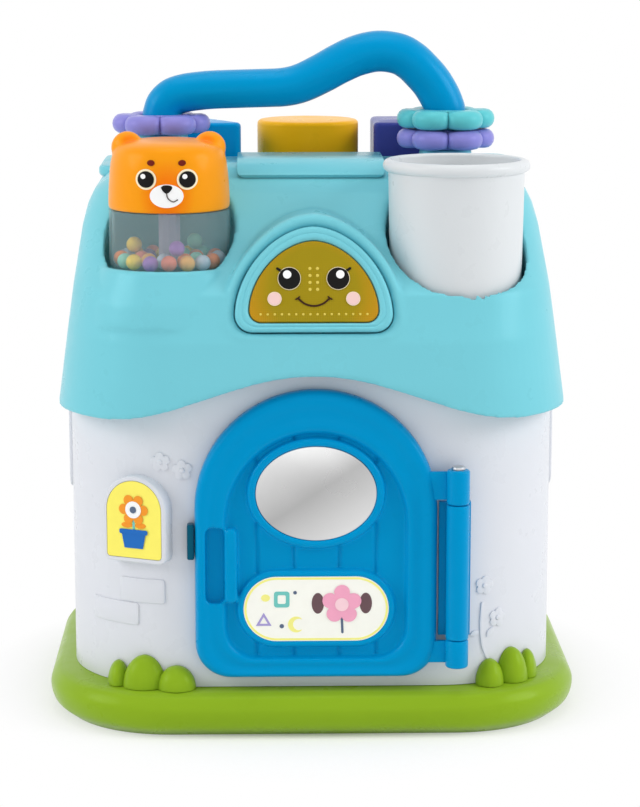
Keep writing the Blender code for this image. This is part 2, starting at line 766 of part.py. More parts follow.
def add_wall_bosses(walls):
    hole_depth = BOSS_DEPTH - BASE_FLOOR
    for number, at in enumerate(base_screw_places(), 1):
        wall = walls[0] if at[1] < 0 else walls[1]
        boss = rod(f"wall_boss_{number}", at, BOSS_RADIUS, WALL_BOTTOM, WALL_BOTTOM + BOSS_DEPTH,
                   steps=SMALL_ROUND_STEPS)
        hole = rod(f"wall_boss_hole_{number}", at, SCREW_HOLE_RADIUS, WALL_BOTTOM - OVERRUN,
                   WALL_BOTTOM + hole_depth, steps=SMALL_ROUND_STEPS)
        cut(join(wall, boss), hole)
    middle = WALL_THICKNESS / 2
    for number, at in enumerate(roof_screw_places(), 1):
        front = at[1] < 0
        wall = walls[0] if front else walls[1]
        reach = Vector((TAB_HALF_WIDTH, TAB_HALF_WIDTH))
        low, high = Vector(at) - reach, Vector(at) + reach
        if front and at[0] > 0:
            high.x = WALL_HALF_WIDTH - WALL_TOP_INSET - middle
        elif front:
            low.x = middle + WALL_TOP_INSET - WALL_HALF_WIDTH
        else:
            high.y = WALL_HALF_DEPTH - middle
        tab = box(f"wall_tab_{number}", (*low, WALL_TOP - TAB_THICKNESS), (*high, WALL_TOP))
        hole = rod(f"wall_tab_hole_{number}", at, SCREW_HOLE_RADIUS, WALL_TOP - TAB_THICKNESS - OVERRUN,
                   WALL_TOP + OVERRUN, steps=SMALL_ROUND_STEPS)
        cut(join(wall, tab), hole)
        place = Matrix.Translation((*at, WALL_TOP - TAB_THICKNESS - CLEARANCE))
        screw_piece(f"roof_screw_{number}", place)


def finish_front_wall(wall):
    """The doorway, and the plaque with its window sticker on the left corner."""
    half_width = DOOR_HALF_WIDTH - DOORWAY_LAP
    doorway = arched_outline(
        DOOR_CENTRE, half_width, DOOR_BOTTOM + DOORWAY_SILL, DOOR_SPRING_LINE,
        DOOR_SPRING_LINE + half_width, DOORWAY_CORNER_RADIUS,
    )
    cutter = plate("doorway", [doorway], -WALL_THICKNESS - OVERRUN, OVERRUN,
                   place=facing_front(WALL_HALF_DEPTH))
    place = plaque_place()
    plaque = plate("plaque", [plaque_outline(0)], -WALL_THICKNESS * PLAQUE_ROOT_SHARE, PLAQUE_PROUD,
                   edge=PLAQUE_EDGE, place=place)
    recess = plate("window_recess", [plaque_outline(WINDOW_MARGIN)], PLAQUE_PROUD - WINDOW_DEPTH,
                   PLAQUE_PROUD + OVERRUN, place=place)
    cut(join(cut(wall, cutter), plaque), recess)
    floor = PLAQUE_PROUD - WINDOW_DEPTH + CLEARANCE
    plate("window_label", [plaque_outline(WINDOW_MARGIN + CLEARANCE)], floor,
          floor + WINDOW_THICKNESS, (YELLOW, 0.4), place=place)


def face_place():
    """The face button's frame: X across, Y up the tilted face, Z out of it."""
    return Matrix.Translation((0, -FACE_FRONT, FACE_FOOT)) @ Matrix.Rotation(
        QUARTER_TURN - FACE_TILT, 4, "X"
    )


def face_outline(room):
    """The bezel's outline grown by this much."""
    return dome_outline(BEZEL_HALF_WIDTH + room, -room, BEZEL_HEIGHT + 2 * room, BEZEL_CORNER_RADIUS + room)


def hump_rings():
    rings = []
    for depth, spread, drop, rise in HUMP_RINGS:
        outline = dome_outline(
            BEZEL_HALF_WIDTH + HUMP_ROOM + spread,
            -HUMP_ROOM - drop,
            BEZEL_HEIGHT + 2 * HUMP_ROOM + drop + rise,
            BEZEL_CORNER_RADIUS + HUMP_ROOM,
        )
        rings.append([(across, up, -depth) for across, up in no_doubles(outline)])
    return rings


def cavity_rings():
    """The room inside the roof: round the walls at the hem, and a wall's thickness in above them."""
    half_width, half_depth = WALL_HALF_WIDTH + ROOF_FIT, WALL_HALF_DEPTH + ROOF_FIT
    radius = WALL_CORNER_RADIUS + ROOF_FIT
    rings = [
        ring_at(height, half_width, half_depth, half_depth, radius)
        for height in (ROOF_RINGS[0][0] - OVERRUN, ROOF_RINGS[1][0])
    ]
    for height, half_width, front, back, radius in ROOF_RINGS[2:-2] + ROOF_RINGS[-1:]:
        if height == ROOF_RINGS[-1][0]:
            height -= ROOF_THICKNESS
        rings.append(
            ring_at(height, half_width - ROOF_THICKNESS, front - ROOF_THICKNESS, back - ROOF_THICKNESS,
                    radius - ROOF_THICKNESS)
        )
    return rings


def hem_outline():
    """The wave that the roof's front edge follows: up in the middle, down at the corners."""
    hem = ROOF_RINGS[0][0]
    crest = [
        (
            HEM_HALF_SPAN * (1 - 2 * step / ARCH_STEPS),
            hem + HEM_RISE * (1 + math.cos(math.pi * (1 - 2 * step / ARCH_STEPS))) / 2,
        )
        for step in range(ARCH_STEPS + 1)
    ]
    return crest + [(-HEM_HALF_SPAN, hem - OVERRUN), (HEM_HALF_SPAN, hem - OVERRUN)]


def bin_outline(room):
    return rounded_rectangle(-BIN_HALF_WIDTH - room, BIN_HALF_WIDTH + room, BIN_FRONT - room,
                             BIN_BACK + room, BIN_CORNER_RADIUS + room)


def board_outline(room):
    """The light board's outline grown by this much: it laps over the chamber at its foot and crown."""
    lap = CHAMBER_ROOM + BOARD_LAP + room
    return dome_outline(BOARD_HALF_WIDTH + room, -lap, BEZEL_HEIGHT + 2 * lap, BOARD_CORNER_RADIUS + room)


def roof_keeps(place):
    """What stays solid inside the roof: walls of the wells, the bin and the chamber, and four bosses."""
    top, wall = ROOF_RINGS[-1][0] + OVERRUN, ROOF_THICKNESS
    widest, rearmost = ROOF_RINGS[0][1], ROOF_RINGS[0][3]
    pocket, socket = RATTLE_RADIUS + POCKET_ROOM + wall, CUP_RADIUS + SOCKET_ROOM + wall
    keeps = [
        rod("pocket_keep", (RATTLE_ACROSS, -RATTLE_FRONT), pocket + POCKET_LIP_FLARE,
            POCKET_FLOOR - wall, top),
        rod("socket_keep", (CUP_ACROSS, -CUP_FRONT), socket, SOCKET_FLOOR - wall, top),
        plate("bin_keep", [bin_outline(wall)], BIN_FLOOR - wall, top),
        box("deck_keep", (-widest, CREST_BACK - wall, DECK_LEVEL - wall), (widest, rearmost, top)),
        plate("chamber_keep", [face_outline(CHAMBER_ROOM + CHAMBER_WALL)],
              -CHAMBER_DEPTH - 2 * CHAMBER_WALL, 0, place=place),
    ]
    for number, at in enumerate(roof_screw_places(), 1):
        keeps.append(rod(f"roof_boss_{number}", at, BOSS_RADIUS, WALL_TOP + CLEARANCE, top,
                         steps=SMALL_ROUND_STEPS))
    return keeps


def make_roof():
    place = face_place()
    top = ROOF_RINGS[-1][0] + OVERRUN
    widest, front, rearmost = ROOF_RINGS[0][1:4]
    roof = loft("roof_shell", [ring_at(*ring) for ring in ROOF_RINGS], (AQUA, 0.35))
    hump = loft("hump", hump_rings(), matrix=place)
    seats = [
        rod(f"handle_seat_{number}", (across, 0), COLLAR_RADIUS, ROOF_RINGS[-1][0] - ROOF_THICKNESS / 2,
            HANDLE_LEVEL)
        for number, across in enumerate((LEFT_LEG_ACROSS, RIGHT_LEG_ACROSS), 1)
    ]
    cavity = cut(loft("roof_cavity", cavity_rings()), *roof_keeps(place))
    step = box("crest_step", (-widest, CREST_BACK, DECK_LEVEL), (widest, rearmost, top))
    bin_room = plate("bin_room", [bin_outline(0)], BIN_FLOOR, top)
    pocket = rod("pocket_bore", (RATTLE_ACROSS, -RATTLE_FRONT), RATTLE_RADIUS + POCKET_ROOM,
                 POCKET_FLOOR, top)
    socket = rod("socket_bore", (CUP_ACROSS, -CUP_FRONT), CUP_RADIUS + SOCKET_ROOM, SOCKET_FLOOR, top)
    rim_room = rod("cup_rim_room", (CUP_ACROSS, -CUP_FRONT), CUP_RIM_RADIUS + SOCKET_ROOM,
                   CUP_TOP - CUP_RIM_HEIGHT - SOCKET_ROOM, top)
    hem = plate("hem_wave", [hem_outline()], -front + WALL_HALF_DEPTH - WALL_CORNER_RADIUS, OVERRUN,
                place=facing_front(front))
    face_hole = plate("face_hole", [face_outline(BUTTON_ROOM)], -HUMP_WALL - OVERRUN, 3 * OVERRUN,
                      place=place)
    chamber = plate("face_chamber", [face_outline(CHAMBER_ROOM)], -CHAMBER_DEPTH - CHAMBER_WALL / 4,
                    -HUMP_WALL, place=place)
    board_room = plate("board_room", [board_outline(CLEARANCE)], -CHAMBER_DEPTH - BOARD_ROOM,
                       -CHAMBER_DEPTH, place=place)
    low, wide = POCKET_LIP_TOP - POCKET_LIP_DEPTH, RATTLE_RADIUS + POCKET_ROOM + POCKET_LIP_WIDTH
    lip = turned("pocket_lip", ((0, POCKET_LIP_TOP), (wide, POCKET_LIP_TOP),
                                (wide + POCKET_LIP_FLARE, low), (0, low)),
                 matrix=Matrix.Translation((RATTLE_ACROSS, -RATTLE_FRONT, 0)))
    cut(join(roof, hump, lip, *seats), cavity, step, bin_room, pocket, socket, rim_room, hem, face_hole,
        chamber, board_room)
    hole_depth = BOSS_DEPTH - BASE_FLOOR
    for number, at in enumerate(roof_screw_places(), 1):
        cut(roof, rod(f"roof_boss_hole_{number}", at, SCREW_HOLE_RADIUS, WALL_TOP - OVERRUN,
                      WALL_TOP + CLEARANCE + hole_depth, steps=SMALL_ROUND_STEPS))
    for number, across in enumerate((LEFT_LEG_ACROSS, RIGHT_LEG_ACROSS), 1):
        cut(roof, rod(f"handle_hole_{number}", (across, 0), SCREW_HOLE_RADIUS,
                      ROOF_RINGS[-1][0] - ROOF_THICKNESS - OVERRUN, HANDLE_LEVEL + OVERRUN,
                      steps=SMALL_ROUND_STEPS))


def block_outlines(room):
    """The outlines of the three blocks seen from above, grown by this much, and their names and looks."""
    side = TRIANGLE_SIDE + 2 * math.sqrt(3) * room
    height = side * math.sqrt(3) / 2
    front = BLOCK_FRONT - room
    corner = TRIANGLE_CORNER_RADIUS + room
    triangle = []
    for across, along, start in (
        (side / 2 - corner * math.sqrt(3), corner, -QUARTER_TURN),
        (0, height - 2 * corner, math.radians(30)),
        (corner * math.sqrt(3) - side / 2, corner, math.radians(150)),
    ):
        triangle += arc((TRIANGLE_ACROSS + across, front + along), (corner, corner), start,
                        start + FULL_TURN / 3, BLOCK_CORNER_STEPS)
    radius = CYLINDER_RADIUS + room
    round_block = ellipse((CYLINDER_ACROSS, BLOCK_FRONT + CYLINDER_RADIUS), (radius, radius))
    square = rounded_rectangle(
        SQUARE_ACROSS - SQUARE_SIDE / 2 - room, SQUARE_ACROSS + SQUARE_SIDE / 2 + room,
        BLOCK_FRONT - room, BLOCK_FRONT + SQUARE_SIDE + room, SQUARE_CORNER_RADIUS + room,
        BLOCK_CORNER_STEPS,
    )
    return (
        ("block_triangle", triangle, (DEEP_BLUE, 0.35)),
        ("block_cylinder", round_block, (YELLOW, 0.35)),
        ("block_square", square, (VIOLET, 0.35)),
    )


def make_lid_and_blocks():
    seat = DECK_LEVEL + CLEARANCE
    corners = (-LID_HALF_WIDTH, LID_HALF_WIDTH, CREST_BACK + CLEARANCE, LID_BACK)
    holes = [outline for name, outline, look in block_outlines(BLOCK_HOLE_ROOM)]
    lid = plate("sorter_lid", [rounded_rectangle(*corners, LID_CORNER_RADIUS)], seat,
                seat + LID_THICKNESS, (AQUA, 0.35))
    join(lid, make_tongue())
    cut(lid, *[
        plate(f"lid_hole_{number}", [outline], seat - OVERRUN, seat + LID_THICKNESS + OVERRUN)
        for number, outline in enumerate(holes, 1)
    ])
    floor = BIN_FLOOR + CLEARANCE
    inner = block_outlines(-BLOCK_WALL)
    for (name, outline, look), (_, hollow, _) in zip(block_outlines(0), inner):
        block = plate(name, [outline], floor, floor + BLOCK_HEIGHT, look, edge=BEZEL_EDGE)
        cut(block, plate(f"{name}_hollow", [hollow], floor - OVERRUN, floor + BLOCK_HEIGHT - BLOCK_WALL))


def make_tongue():
    """The lid's tongue, drawn from the side: up the crest's back, over its top and down its front."""
    step = CLEARANCE
    slope = [
        (-front - step, height + step)
        for height, half_width, front, back, radius in reversed(ROOF_RINGS[-3:])
    ]
    under = [(CREST_BACK + step, DECK_LEVEL + LID_THICKNESS / 2),
             (CREST_BACK + step, ROOF_RINGS[-1][0] + step)] + slope
    thick = TONGUE_THICKNESS
    over = [(along - thick * TONGUE_LEAN_SHARE, height + thick) for along, height in reversed(slope)]
    over += [(CREST_BACK + step + thick, ROOF_RINGS[-1][0] + step + thick),
             (CREST_BACK + step + thick, DECK_LEVEL + LID_THICKNESS / 2)]
    sideways = Matrix(((0, 0, 1, 0), (1, 0, 0, 0), (0, 1, 0, 0), (0, 0, 0, 1)))
    return plate("tongue", [under + over], -TONGUE_HALF_WIDTH, TONGUE_HALF_WIDTH, place=sideways)


def make_rattle():
    here = Matrix.Translation((RATTLE_ACROSS, -RATTLE_FRONT, 0))
    floor = POCKET_FLOOR + CLEARANCE
    inner = RATTLE_RADIUS - DRUM_WALL
    turned(
        "rattle_drum",
        ((0, floor + DRUM_WALL), (inner, floor + DRUM_WALL), (inner, DRUM_RIM), (RATTLE_RADIUS, DRUM_RIM),
         (RATTLE_RADIUS, floor + DRUM_WALL), (inner, floor), (0, floor)),
        (CLEAR, 0.1, 0.0, 0.35),
        here,
    )
    low = DRUM_RIM + CLEARANCE
    outer = [
        (radius * RATTLE_RADIUS, low + share * (HEAD_TOP - low)) for share, radius in HEAD_PROFILE_SHARES
    ]
    room = [
        (radius * (RATTLE_RADIUS - HEAD_WALL), low + share * (HEAD_TOP - HEAD_WALL - low))
        for share, radius in HEAD_PROFILE_SHARES
    ]
    head = turned("bear_head", outer + [(0, low)], (ORANGE, 0.4), here)
    ears = [
        ellipsoid(f"ear_{side}", (RATTLE_ACROSS + side * EAR_SPREAD, -RATTLE_FRONT, EAR_HEIGHT),
                  (EAR_RADIUS, EAR_HALF_DEPTH, EAR_RADIUS))
        for side in (-1, 1)
    ]
    under = low - OVERRUN
    hollow = turned("head_hollow", room + [(room[-1][0], under), (0, under)], matrix=here)
    cut(join(head, *ears), hollow)
    rod("rattle_post", (0, 0), POST_RADIUS, floor + DRUM_WALL + CLEARANCE,
        HEAD_TOP - HEAD_WALL - CLEARANCE, (SILVER, 0.3), here, steps=SMALL_ROUND_STEPS)
    make_beads(floor + DRUM_WALL + CLEARANCE)


def make_beads(floor):
    """The loose beads lie as one ring of beads that just touch."""
    beads = []
    for number in range(BEAD_COUNT):
        turn = FULL_TURN * number / BEAD_COUNT
        centre = (RATTLE_ACROSS + BEAD_RING_RADIUS * math.cos(turn),
                  BEAD_RING_RADIUS * math.sin(turn) - RATTLE_FRONT, floor + BEAD_RADIUS)
        name = "rattle_beads" if number == 0 else f"bead_{number}"
        look = (YELLOW, 0.3) if number == 0 else None
        beads.append(ellipsoid(name, centre, (BEAD_RADIUS,) * 3, look, BEAD_STEPS))
    join(beads[0], *beads[1:])


def make_cup():
    here = Matrix.Translation((CUP_ACROSS, -CUP_FRONT, 0))
    floor = SOCKET_FLOOR + CLEARANCE
    bead = CUP_RIM_HEIGHT / 2
    rim = [
        (CUP_RIM_RADIUS - bead * (1 - math.cos(turn)), CUP_TOP - bead + bead * math.sin(turn))
        for turn in (QUARTER_TURN, QUARTER_TURN / 2, 0, -QUARTER_TURN / 3, -QUARTER_TURN * 2 / 3)
    ]
    foot = CUP_RADIUS - CUP_DRAFT
    turned(
        "cup",
        [(0, floor + CUP_WALL), (foot - CUP_WALL, floor + CUP_WALL),
         (CUP_RADIUS - CUP_WALL, CUP_TOP - bead / 2)]
        + rim
        + [(CUP_RADIUS, CUP_TOP - CUP_RIM_HEIGHT), (foot, floor + CUP_WALL), (foot - CUP_WALL, floor),
           (0, floor)],
        (WHITE, 0.3),
        here,
    )


def door_panel_outline():
    half_width = DOOR_HALF_WIDTH - DOOR_RING_SIDE
    spring_line = DOOR_SPRING_LINE + (DOOR_RING_SIDE - DOOR_RING_CROWN)
    return arched_outline(DOOR_CENTRE, half_width, DOOR_BOTTOM + DOOR_RING_FOOT, spring_line,
                          spring_line + half_width, DOOR_FOOT_RADIUS)


def pill(half_width, half_height, height):
    return rounded_rectangle(DOOR_CENTRE - half_width, DOOR_CENTRE + half_width, height - half_height,
                             height + half_height, half_height)


def make_door():
    back = WALL_HALF_DEPTH + CLEARANCE
    place = facing_front(back)
    outline = arched_outline(DOOR_CENTRE, DOOR_HALF_WIDTH, DOOR_BOTTOM, DOOR_SPRING_LINE,
                             DOOR_SPRING_LINE + DOOR_HALF_WIDTH, DOOR_FOOT_RADIUS)
    door = plate("door_leaf", [outline], 0, DOOR_THICKNESS, (BLUE, 0.35), edge=DOOR_EDGE, place=place)
    panel = DOOR_THICKNESS - DOOR_PANEL_DEPTH
    front = DOOR_THICKNESS + OVERRUN
    cut(door, plate("door_panel", [door_panel_outline()], panel, front, place=place))
    half_width = DOOR_HALF_WIDTH - DOOR_RING_SIDE
    low, high = DOOR_BOTTOM + DOOR_RING_FOOT, DOOR_SPRING_LINE + half_width
    for number, share in enumerate(PLANK_GROOVE_SHARES, 1):
        middle = DOOR_CENTRE + share * half_width
        left, right = middle - PLANK_GROOVE_WIDTH / 2, middle + PLANK_GROOVE_WIDTH / 2
        cut(door, box(f"plank_groove_{number}", (left, low, panel - PLANK_GROOVE_DEPTH),
                      (right, high - DOOR_RING_CROWN, panel + PLANK_GROOVE_DEPTH), matrix=place))
    oval = (MIRROR_HALF_WIDTH, MIRROR_HALF_HEIGHT)
    rim = [ellipse((DOOR_CENTRE, MIRROR_HEIGHT), [half + MIRROR_RIM for half in oval])]
    glass = [ellipse((DOOR_CENTRE, MIRROR_HEIGHT), oval)]
    seat = [ellipse((DOOR_CENTRE, MIRROR_HEIGHT), [half + CLEARANCE for half in oval])]
    recess = 2 * MIRROR_THICKNESS
    join(door, plate("mirror_rim", rim, panel / 2, DOOR_THICKNESS, place=place, edge=MIRROR_RIM_EDGE))
    cut(door, plate("mirror_seat", seat, DOOR_THICKNESS - recess, front, place=place))
    floor = DOOR_THICKNESS - recess + CLEARANCE
    plate("door_mirror", glass, floor, floor + MIRROR_THICKNESS, (SILVER, 0.05, 1.0), place=place)
    label_rim = pill(LABEL_HALF_WIDTH + LABEL_RIM, LABEL_HALF_HEIGHT + LABEL_RIM, LABEL_HEIGHT)
    label_seat = pill(LABEL_HALF_WIDTH + CLEARANCE, LABEL_HALF_HEIGHT + CLEARANCE, LABEL_HEIGHT)
    raised = DOOR_THICKNESS - LABEL_THICKNESS
    floor = raised - 2 * LABEL_THICKNESS
    join(door, plate("label_rim", [label_rim], panel / 2, raised, place=place, edge=LABEL_THICKNESS))
    cut(door, plate("label_seat", [label_seat], floor, front, place=place))
    label = pill(LABEL_HALF_WIDTH, LABEL_HALF_HEIGHT, LABEL_HEIGHT)
    plate("door_label", [label], floor + CLEARANCE, floor + CLEARANCE + LABEL_THICKNESS, (IVORY, 0.4),
          place=place)
    add_door_pull(door, panel, place)
    add_door_hinge(door, back)


def add_door_pull(door, panel, place):
    """A fin to pull, with a scoop for the fingers between it and the door's edge."""
    left = DOOR_CENTRE - DOOR_HALF_WIDTH + DOOR_RING_SIDE + PULL_INSET
    scoop = rounded_rectangle(left - SCOOP_WIDTH, left, PULL_LOW, PULL_HIGH, SCOOP_WIDTH * PULL_CORNER_SHARE,
                              BLOCK_CORNER_STEPS)
    fin = rounded_rectangle(left, left + PULL_WIDTH, PULL_LOW, PULL_HIGH, PULL_WIDTH * PULL_CORNER_SHARE,
                            BLOCK_CORNER_STEPS)
    join(door, plate("pull_fin", [fin], panel / 2, DOOR_THICKNESS + PULL_PROUD, place=place,
                     edge=PULL_PROUD))
    cut(door, plate("pull_scoop", [scoop], SCOOP_FLOOR, DOOR_THICKNESS + OVERRUN, place=place))


def add_door_hinge(door, back):
    """Two knuckles on the door, the barrel between them on the wall, and the pin through all three."""
    axis = (HINGE_ACROSS, -HINGE_FRONT)
    bore = PIN_RADIUS + CLEARANCE
    hole = rod("hinge_bore", axis, bore, KNUCKLE_LOW - OVERRUN, KNUCKLE_HIGH + OVERRUN,
               steps=SMALL_ROUND_STEPS)
    right = DOOR_CENTRE + DOOR_HALF_WIDTH
    ends = ((KNUCKLE_LOW, BARREL_LOW - CLEARANCE), (BARREL_HIGH + CLEARANCE, KNUCKLE_HIGH))
    for number, (low, high) in enumerate(ends, 1):
        knuckle = rod(f"knuckle_{number}", axis, KNUCKLE_RADIUS, low, high, steps=ROUND_STEPS // 2)
        front, rear = [-back - DOOR_THICKNESS * share for share in HINGE_ARM_SHARES]
        arm = box(f"hinge_arm_{number}", (right - HINGE_ARM_LAP, front, low + HINGE_ARM_INSET),
                  (HINGE_ACROSS, rear, high - HINGE_ARM_INSET))
        join(door, knuckle, arm)
    cut(door, hole)
    barrel = rod("hinge_barrel", axis, KNUCKLE_RADIUS, BARREL_LOW, BARREL_HIGH, (BLUE, 0.35),
                 steps=ROUND_STEPS // 2)
    web = box("hinge_web", (HINGE_ACROSS - HINGE_WEB_HALF_WIDTH, -HINGE_FRONT, BARREL_LOW),
              (HINGE_ACROSS + HINGE_WEB_HALF_WIDTH, -WALL_HALF_DEPTH, BARREL_HIGH))
    left, right = HINGE_ACROSS - HINGE_FOOT_HALF_WIDTH, HINGE_ACROSS + HINGE_FOOT_HALF_WIDTH
    foot = box("hinge_foot", (left, -back - HINGE_FOOT_THICKNESS, BARREL_LOW),
               (right, WALL_THICKNESS - WALL_HALF_DEPTH, BARREL_HIGH))
    cut(join(barrel, web, foot), wall_room(), hole)
    seat = KNUCKLE_HIGH + CLEARANCE
    turned(
        "hinge_pin",
        ((0, seat + PIN_HEAD_HEIGHT), (PIN_HEAD_RADIUS * PIN_CROWN_SHARE, seat + PIN_HEAD_HEIGHT),
         (PIN_HEAD_RADIUS, seat + PIN_HEAD_HEIGHT / 2), (PIN_HEAD_RADIUS, seat), (PIN_RADIUS, seat),
         (PIN_RADIUS, KNUCKLE_LOW), (0, KNUCKLE_LOW)),
        (STEEL, 0.3, 1.0),
        Matrix.Translation((*axis, 0)),
        SMALL_ROUND_STEPS,
    )
    left = DOOR_CENTRE - DOOR_HALF_WIDTH - CLEARANCE
    box("door_catch", (left - CATCH_WIDTH, -back - CATCH_DEPTH, CATCH_LOW), (left, -back, CATCH_HIGH),
        (DARK_TEAL, 0.4))


def make_face_button():
    place = face_place()
    flange_front = -HUMP_WALL - CLEARANCE
    flange_back = flange_front - BEZEL_FLANGE_THICKNESS
    bezel = plate("face_bezel", [face_outline(0)], flange_back + CLEARANCE, BEZEL_PROUD, (AQUA, 0.3),
                  edge=BEZEL_EDGE, place=place)
    flange = plate("bezel_flange", [face_outline(BEZEL_FLANGE)], flange_back, flange_front, place=place)
    lens_floor = BEZEL_PROUD - LENS_SET_BACK - LENS_THICKNESS
    seat = plate("lens_seat", [face_outline(CLEARANCE - LENS_RING)], lens_floor - CLEARANCE,
                 BEZEL_PROUD + OVERRUN, place=place)
    window = plate("lens_window", [face_outline(-LENS_RING - LENS_SEAT)], flange_back - OVERRUN,
                   lens_floor, place=place)
    cut(join(bezel, flange), seat, window)
    plate("face_lens", [face_outline(-LENS_RING)], lens_floor, lens_floor + LENS_THICKNESS,
          (OLIVE_GOLD, 0.25), edge=LENS_SET_BACK, place=place)
    front = -CHAMBER_DEPTH - CLEARANCE
    back = front - BOARD_THICKNESS
    plate("light_board", [board_outline(0)], back, front, (BOARD_GREEN, 0.5), place=place)
    middle = BEZEL_HEIGHT / 2
    base = front + CLEARANCE
    led_place = place @ Matrix.Translation((0, middle, base))
    led_profile = [(LED_RADIUS * out, LED_HEIGHT * up) for out, up in LED_PROFILE_SHARES]
    turned("button_led", led_profile, (WHITE, 0.2), led_place, SMALL_ROUND_STEPS)
    plunger = rod("switch_plunger", (0, SWITCH_UP), PLUNGER_RADIUS, base + SWITCH_HEIGHT / 2,
                  flange_back - BUTTON_TRAVEL - CLEARANCE, matrix=place, steps=SMALL_ROUND_STEPS)
    switch = box("button_switch", (-SWITCH_HALF_SIZE, SWITCH_UP - SWITCH_HALF_SIZE, base),
                 (SWITCH_HALF_SIZE, SWITCH_UP + SWITCH_HALF_SIZE, base + SWITCH_HEIGHT), (BLACK, 0.5), place)
    join(switch, plunger)
    rod("speaker", (0, middle), SPEAKER_RADIUS, back - CLEARANCE - SPEAKER_THICKNESS, back - CLEARANCE,
        (BLACK, 0.6), place)
    chamber_back = -CHAMBER_DEPTH - CHAMBER_WALL / 4
    for side, name in ((-1, "button_spring_left"), (1, "button_spring_right")):
        make_spring(name, place @ Matrix.Translation((side * SPRING_ACROSS, SPRING_UP, 0)),
                    chamber_back + CLEARANCE + SPRING_WIRE, flange_back - CLEARANCE - SPRING_WIRE)


def make_spring(name, place, low, high):
    """A coil spring between two heights of its own frame."""
    steps = SPRING_TURN_COUNT * SPRING_STEPS
    points = [
        (
            SPRING_RADIUS * math.cos(FULL_TURN * SPRING_TURN_COUNT * step / steps),
            SPRING_RADIUS * math.sin(FULL_TURN * SPRING_TURN_COUNT * step / steps),
            low + (high - low) * step / steps,
        )
        for step in range(steps + 1)
    ]
    return tube(name, points, SPRING_WIRE, (STEEL, 0.3, 1.0), place, SPRING_BEVEL_STEPS)


def tube(name, points, radius, look, matrix=None, smoothness=HANDLE_BEVEL_STEPS):
    """A round bar with filled ends through points."""
    curve = bpy.data.curves.new(name, "CURVE")
    curve.dimensions = "3D"
    curve.bevel_depth = radius
    curve.bevel_resolution = smoothness
    curve.use_fill_caps = True
    spline = curve.splines.new("POLY")
    spline.points.add(len(points) - 1)
    for point, place in zip(spline.points, points):
        point.co = (*place, 1)
    drawn = bpy.data.objects.new(name, curve)
    CUTTERS.objects.link(drawn)
    shape = mesh_of(drawn)
    return place_object(name, shape, look, matrix)


def smooth_route(points, steps):
    """More points on the smooth curve through these, which has the same ends."""
    ends = [2 * Vector(points[0]) - Vector(points[1])], [2 * Vector(points[-1]) - Vector(points[-2])]
    knots = ends[0] + [Vector(point) for point in points] + ends[1]
    route = []
    for before, start, end, after in zip(knots, knots[1:], knots[2:], knots[3:]):
        for step in range(steps):
            share = step / steps
            route.append(
                (
                    2 * start
                    + (end - before) * share
                    + (2 * before - 5 * start + 4 * end - after) * share**2
                    + (3 * start - before - 3 * end + after) * share**3
                )
                / 2
            )
    return route + [knots[-2]]


def make_handle():
    foot = HANDLE_LEVEL + CLEARANCE
    left, right = LEFT_LEG_ACROSS, RIGHT_LEG_ACROSS
    path = [
        (left + along * (right - left), 0, HANDLE_LEVEL + up * HANDLE_RISE)
        for along, up in HANDLE_SHARES
    ]
    knots = [(left, 0, foot)] + path + [(right, 0, foot)]
    handle = tube("handle", smooth_route(knots, HANDLE_ROUTE_STEPS), HANDLE_RADIUS, (BLUE, 0.35))
    under_roof = ROOF_RINGS[-1][0] - ROOF_THICKNESS - CLEARANCE
    for name, across in (("left", left), ("right", right)):
        cut(handle, rod(f"handle_bore_{name}", (across, 0), SCREW_HOLE_RADIUS, foot - OVERRUN,
                        foot + SCREW_LENGTH, steps=SMALL_ROUND_STEPS))
        screw_piece(f"handle_screw_{name}", Matrix.Translation((across, 0, under_roof)))
    collar = [
        ellipse((left, 0), (radius, radius)) for radius in (COLLAR_RADIUS, HANDLE_RADIUS + CLEARANCE)
    ]
    plate("handle_collar", collar, foot, foot + COLLAR_HEIGHT, (AQUA, 0.35))
    above_collar = foot + COLLAR_HEIGHT + CLEARANCE
    make_ring("ring_left", left, above_collar, LILAC)
    make_ring("ring_right_lower", right, foot, LILAC)
    make_ring("ring_right_upper", right, foot + RING_THICKNESS + CLEARANCE, TEAL)


def make_ring(name, across, low, colour):
    """A flower with round lobes and a round bore, loose on a leg of the handle."""
    steps = RING_LOBE_COUNT * RING_STEPS_PER_LOBE
    lobes = []
    for step in range(steps):
        turn = FULL_TURN * step / steps
        radius = RING_RADIUS + RING_LOBE * math.cos(RING_LOBE_COUNT * turn)
        lobes.append((radius * math.cos(turn), radius * math.sin(turn)))
    bore = ellipse((0, 0), (RING_BORE, RING_BORE))
    return plate(name, [lobes, bore], 0, RING_THICKNESS, (colour, 0.35),
                 Matrix.Translation((across, 0, low)), edge=RING_EDGE)


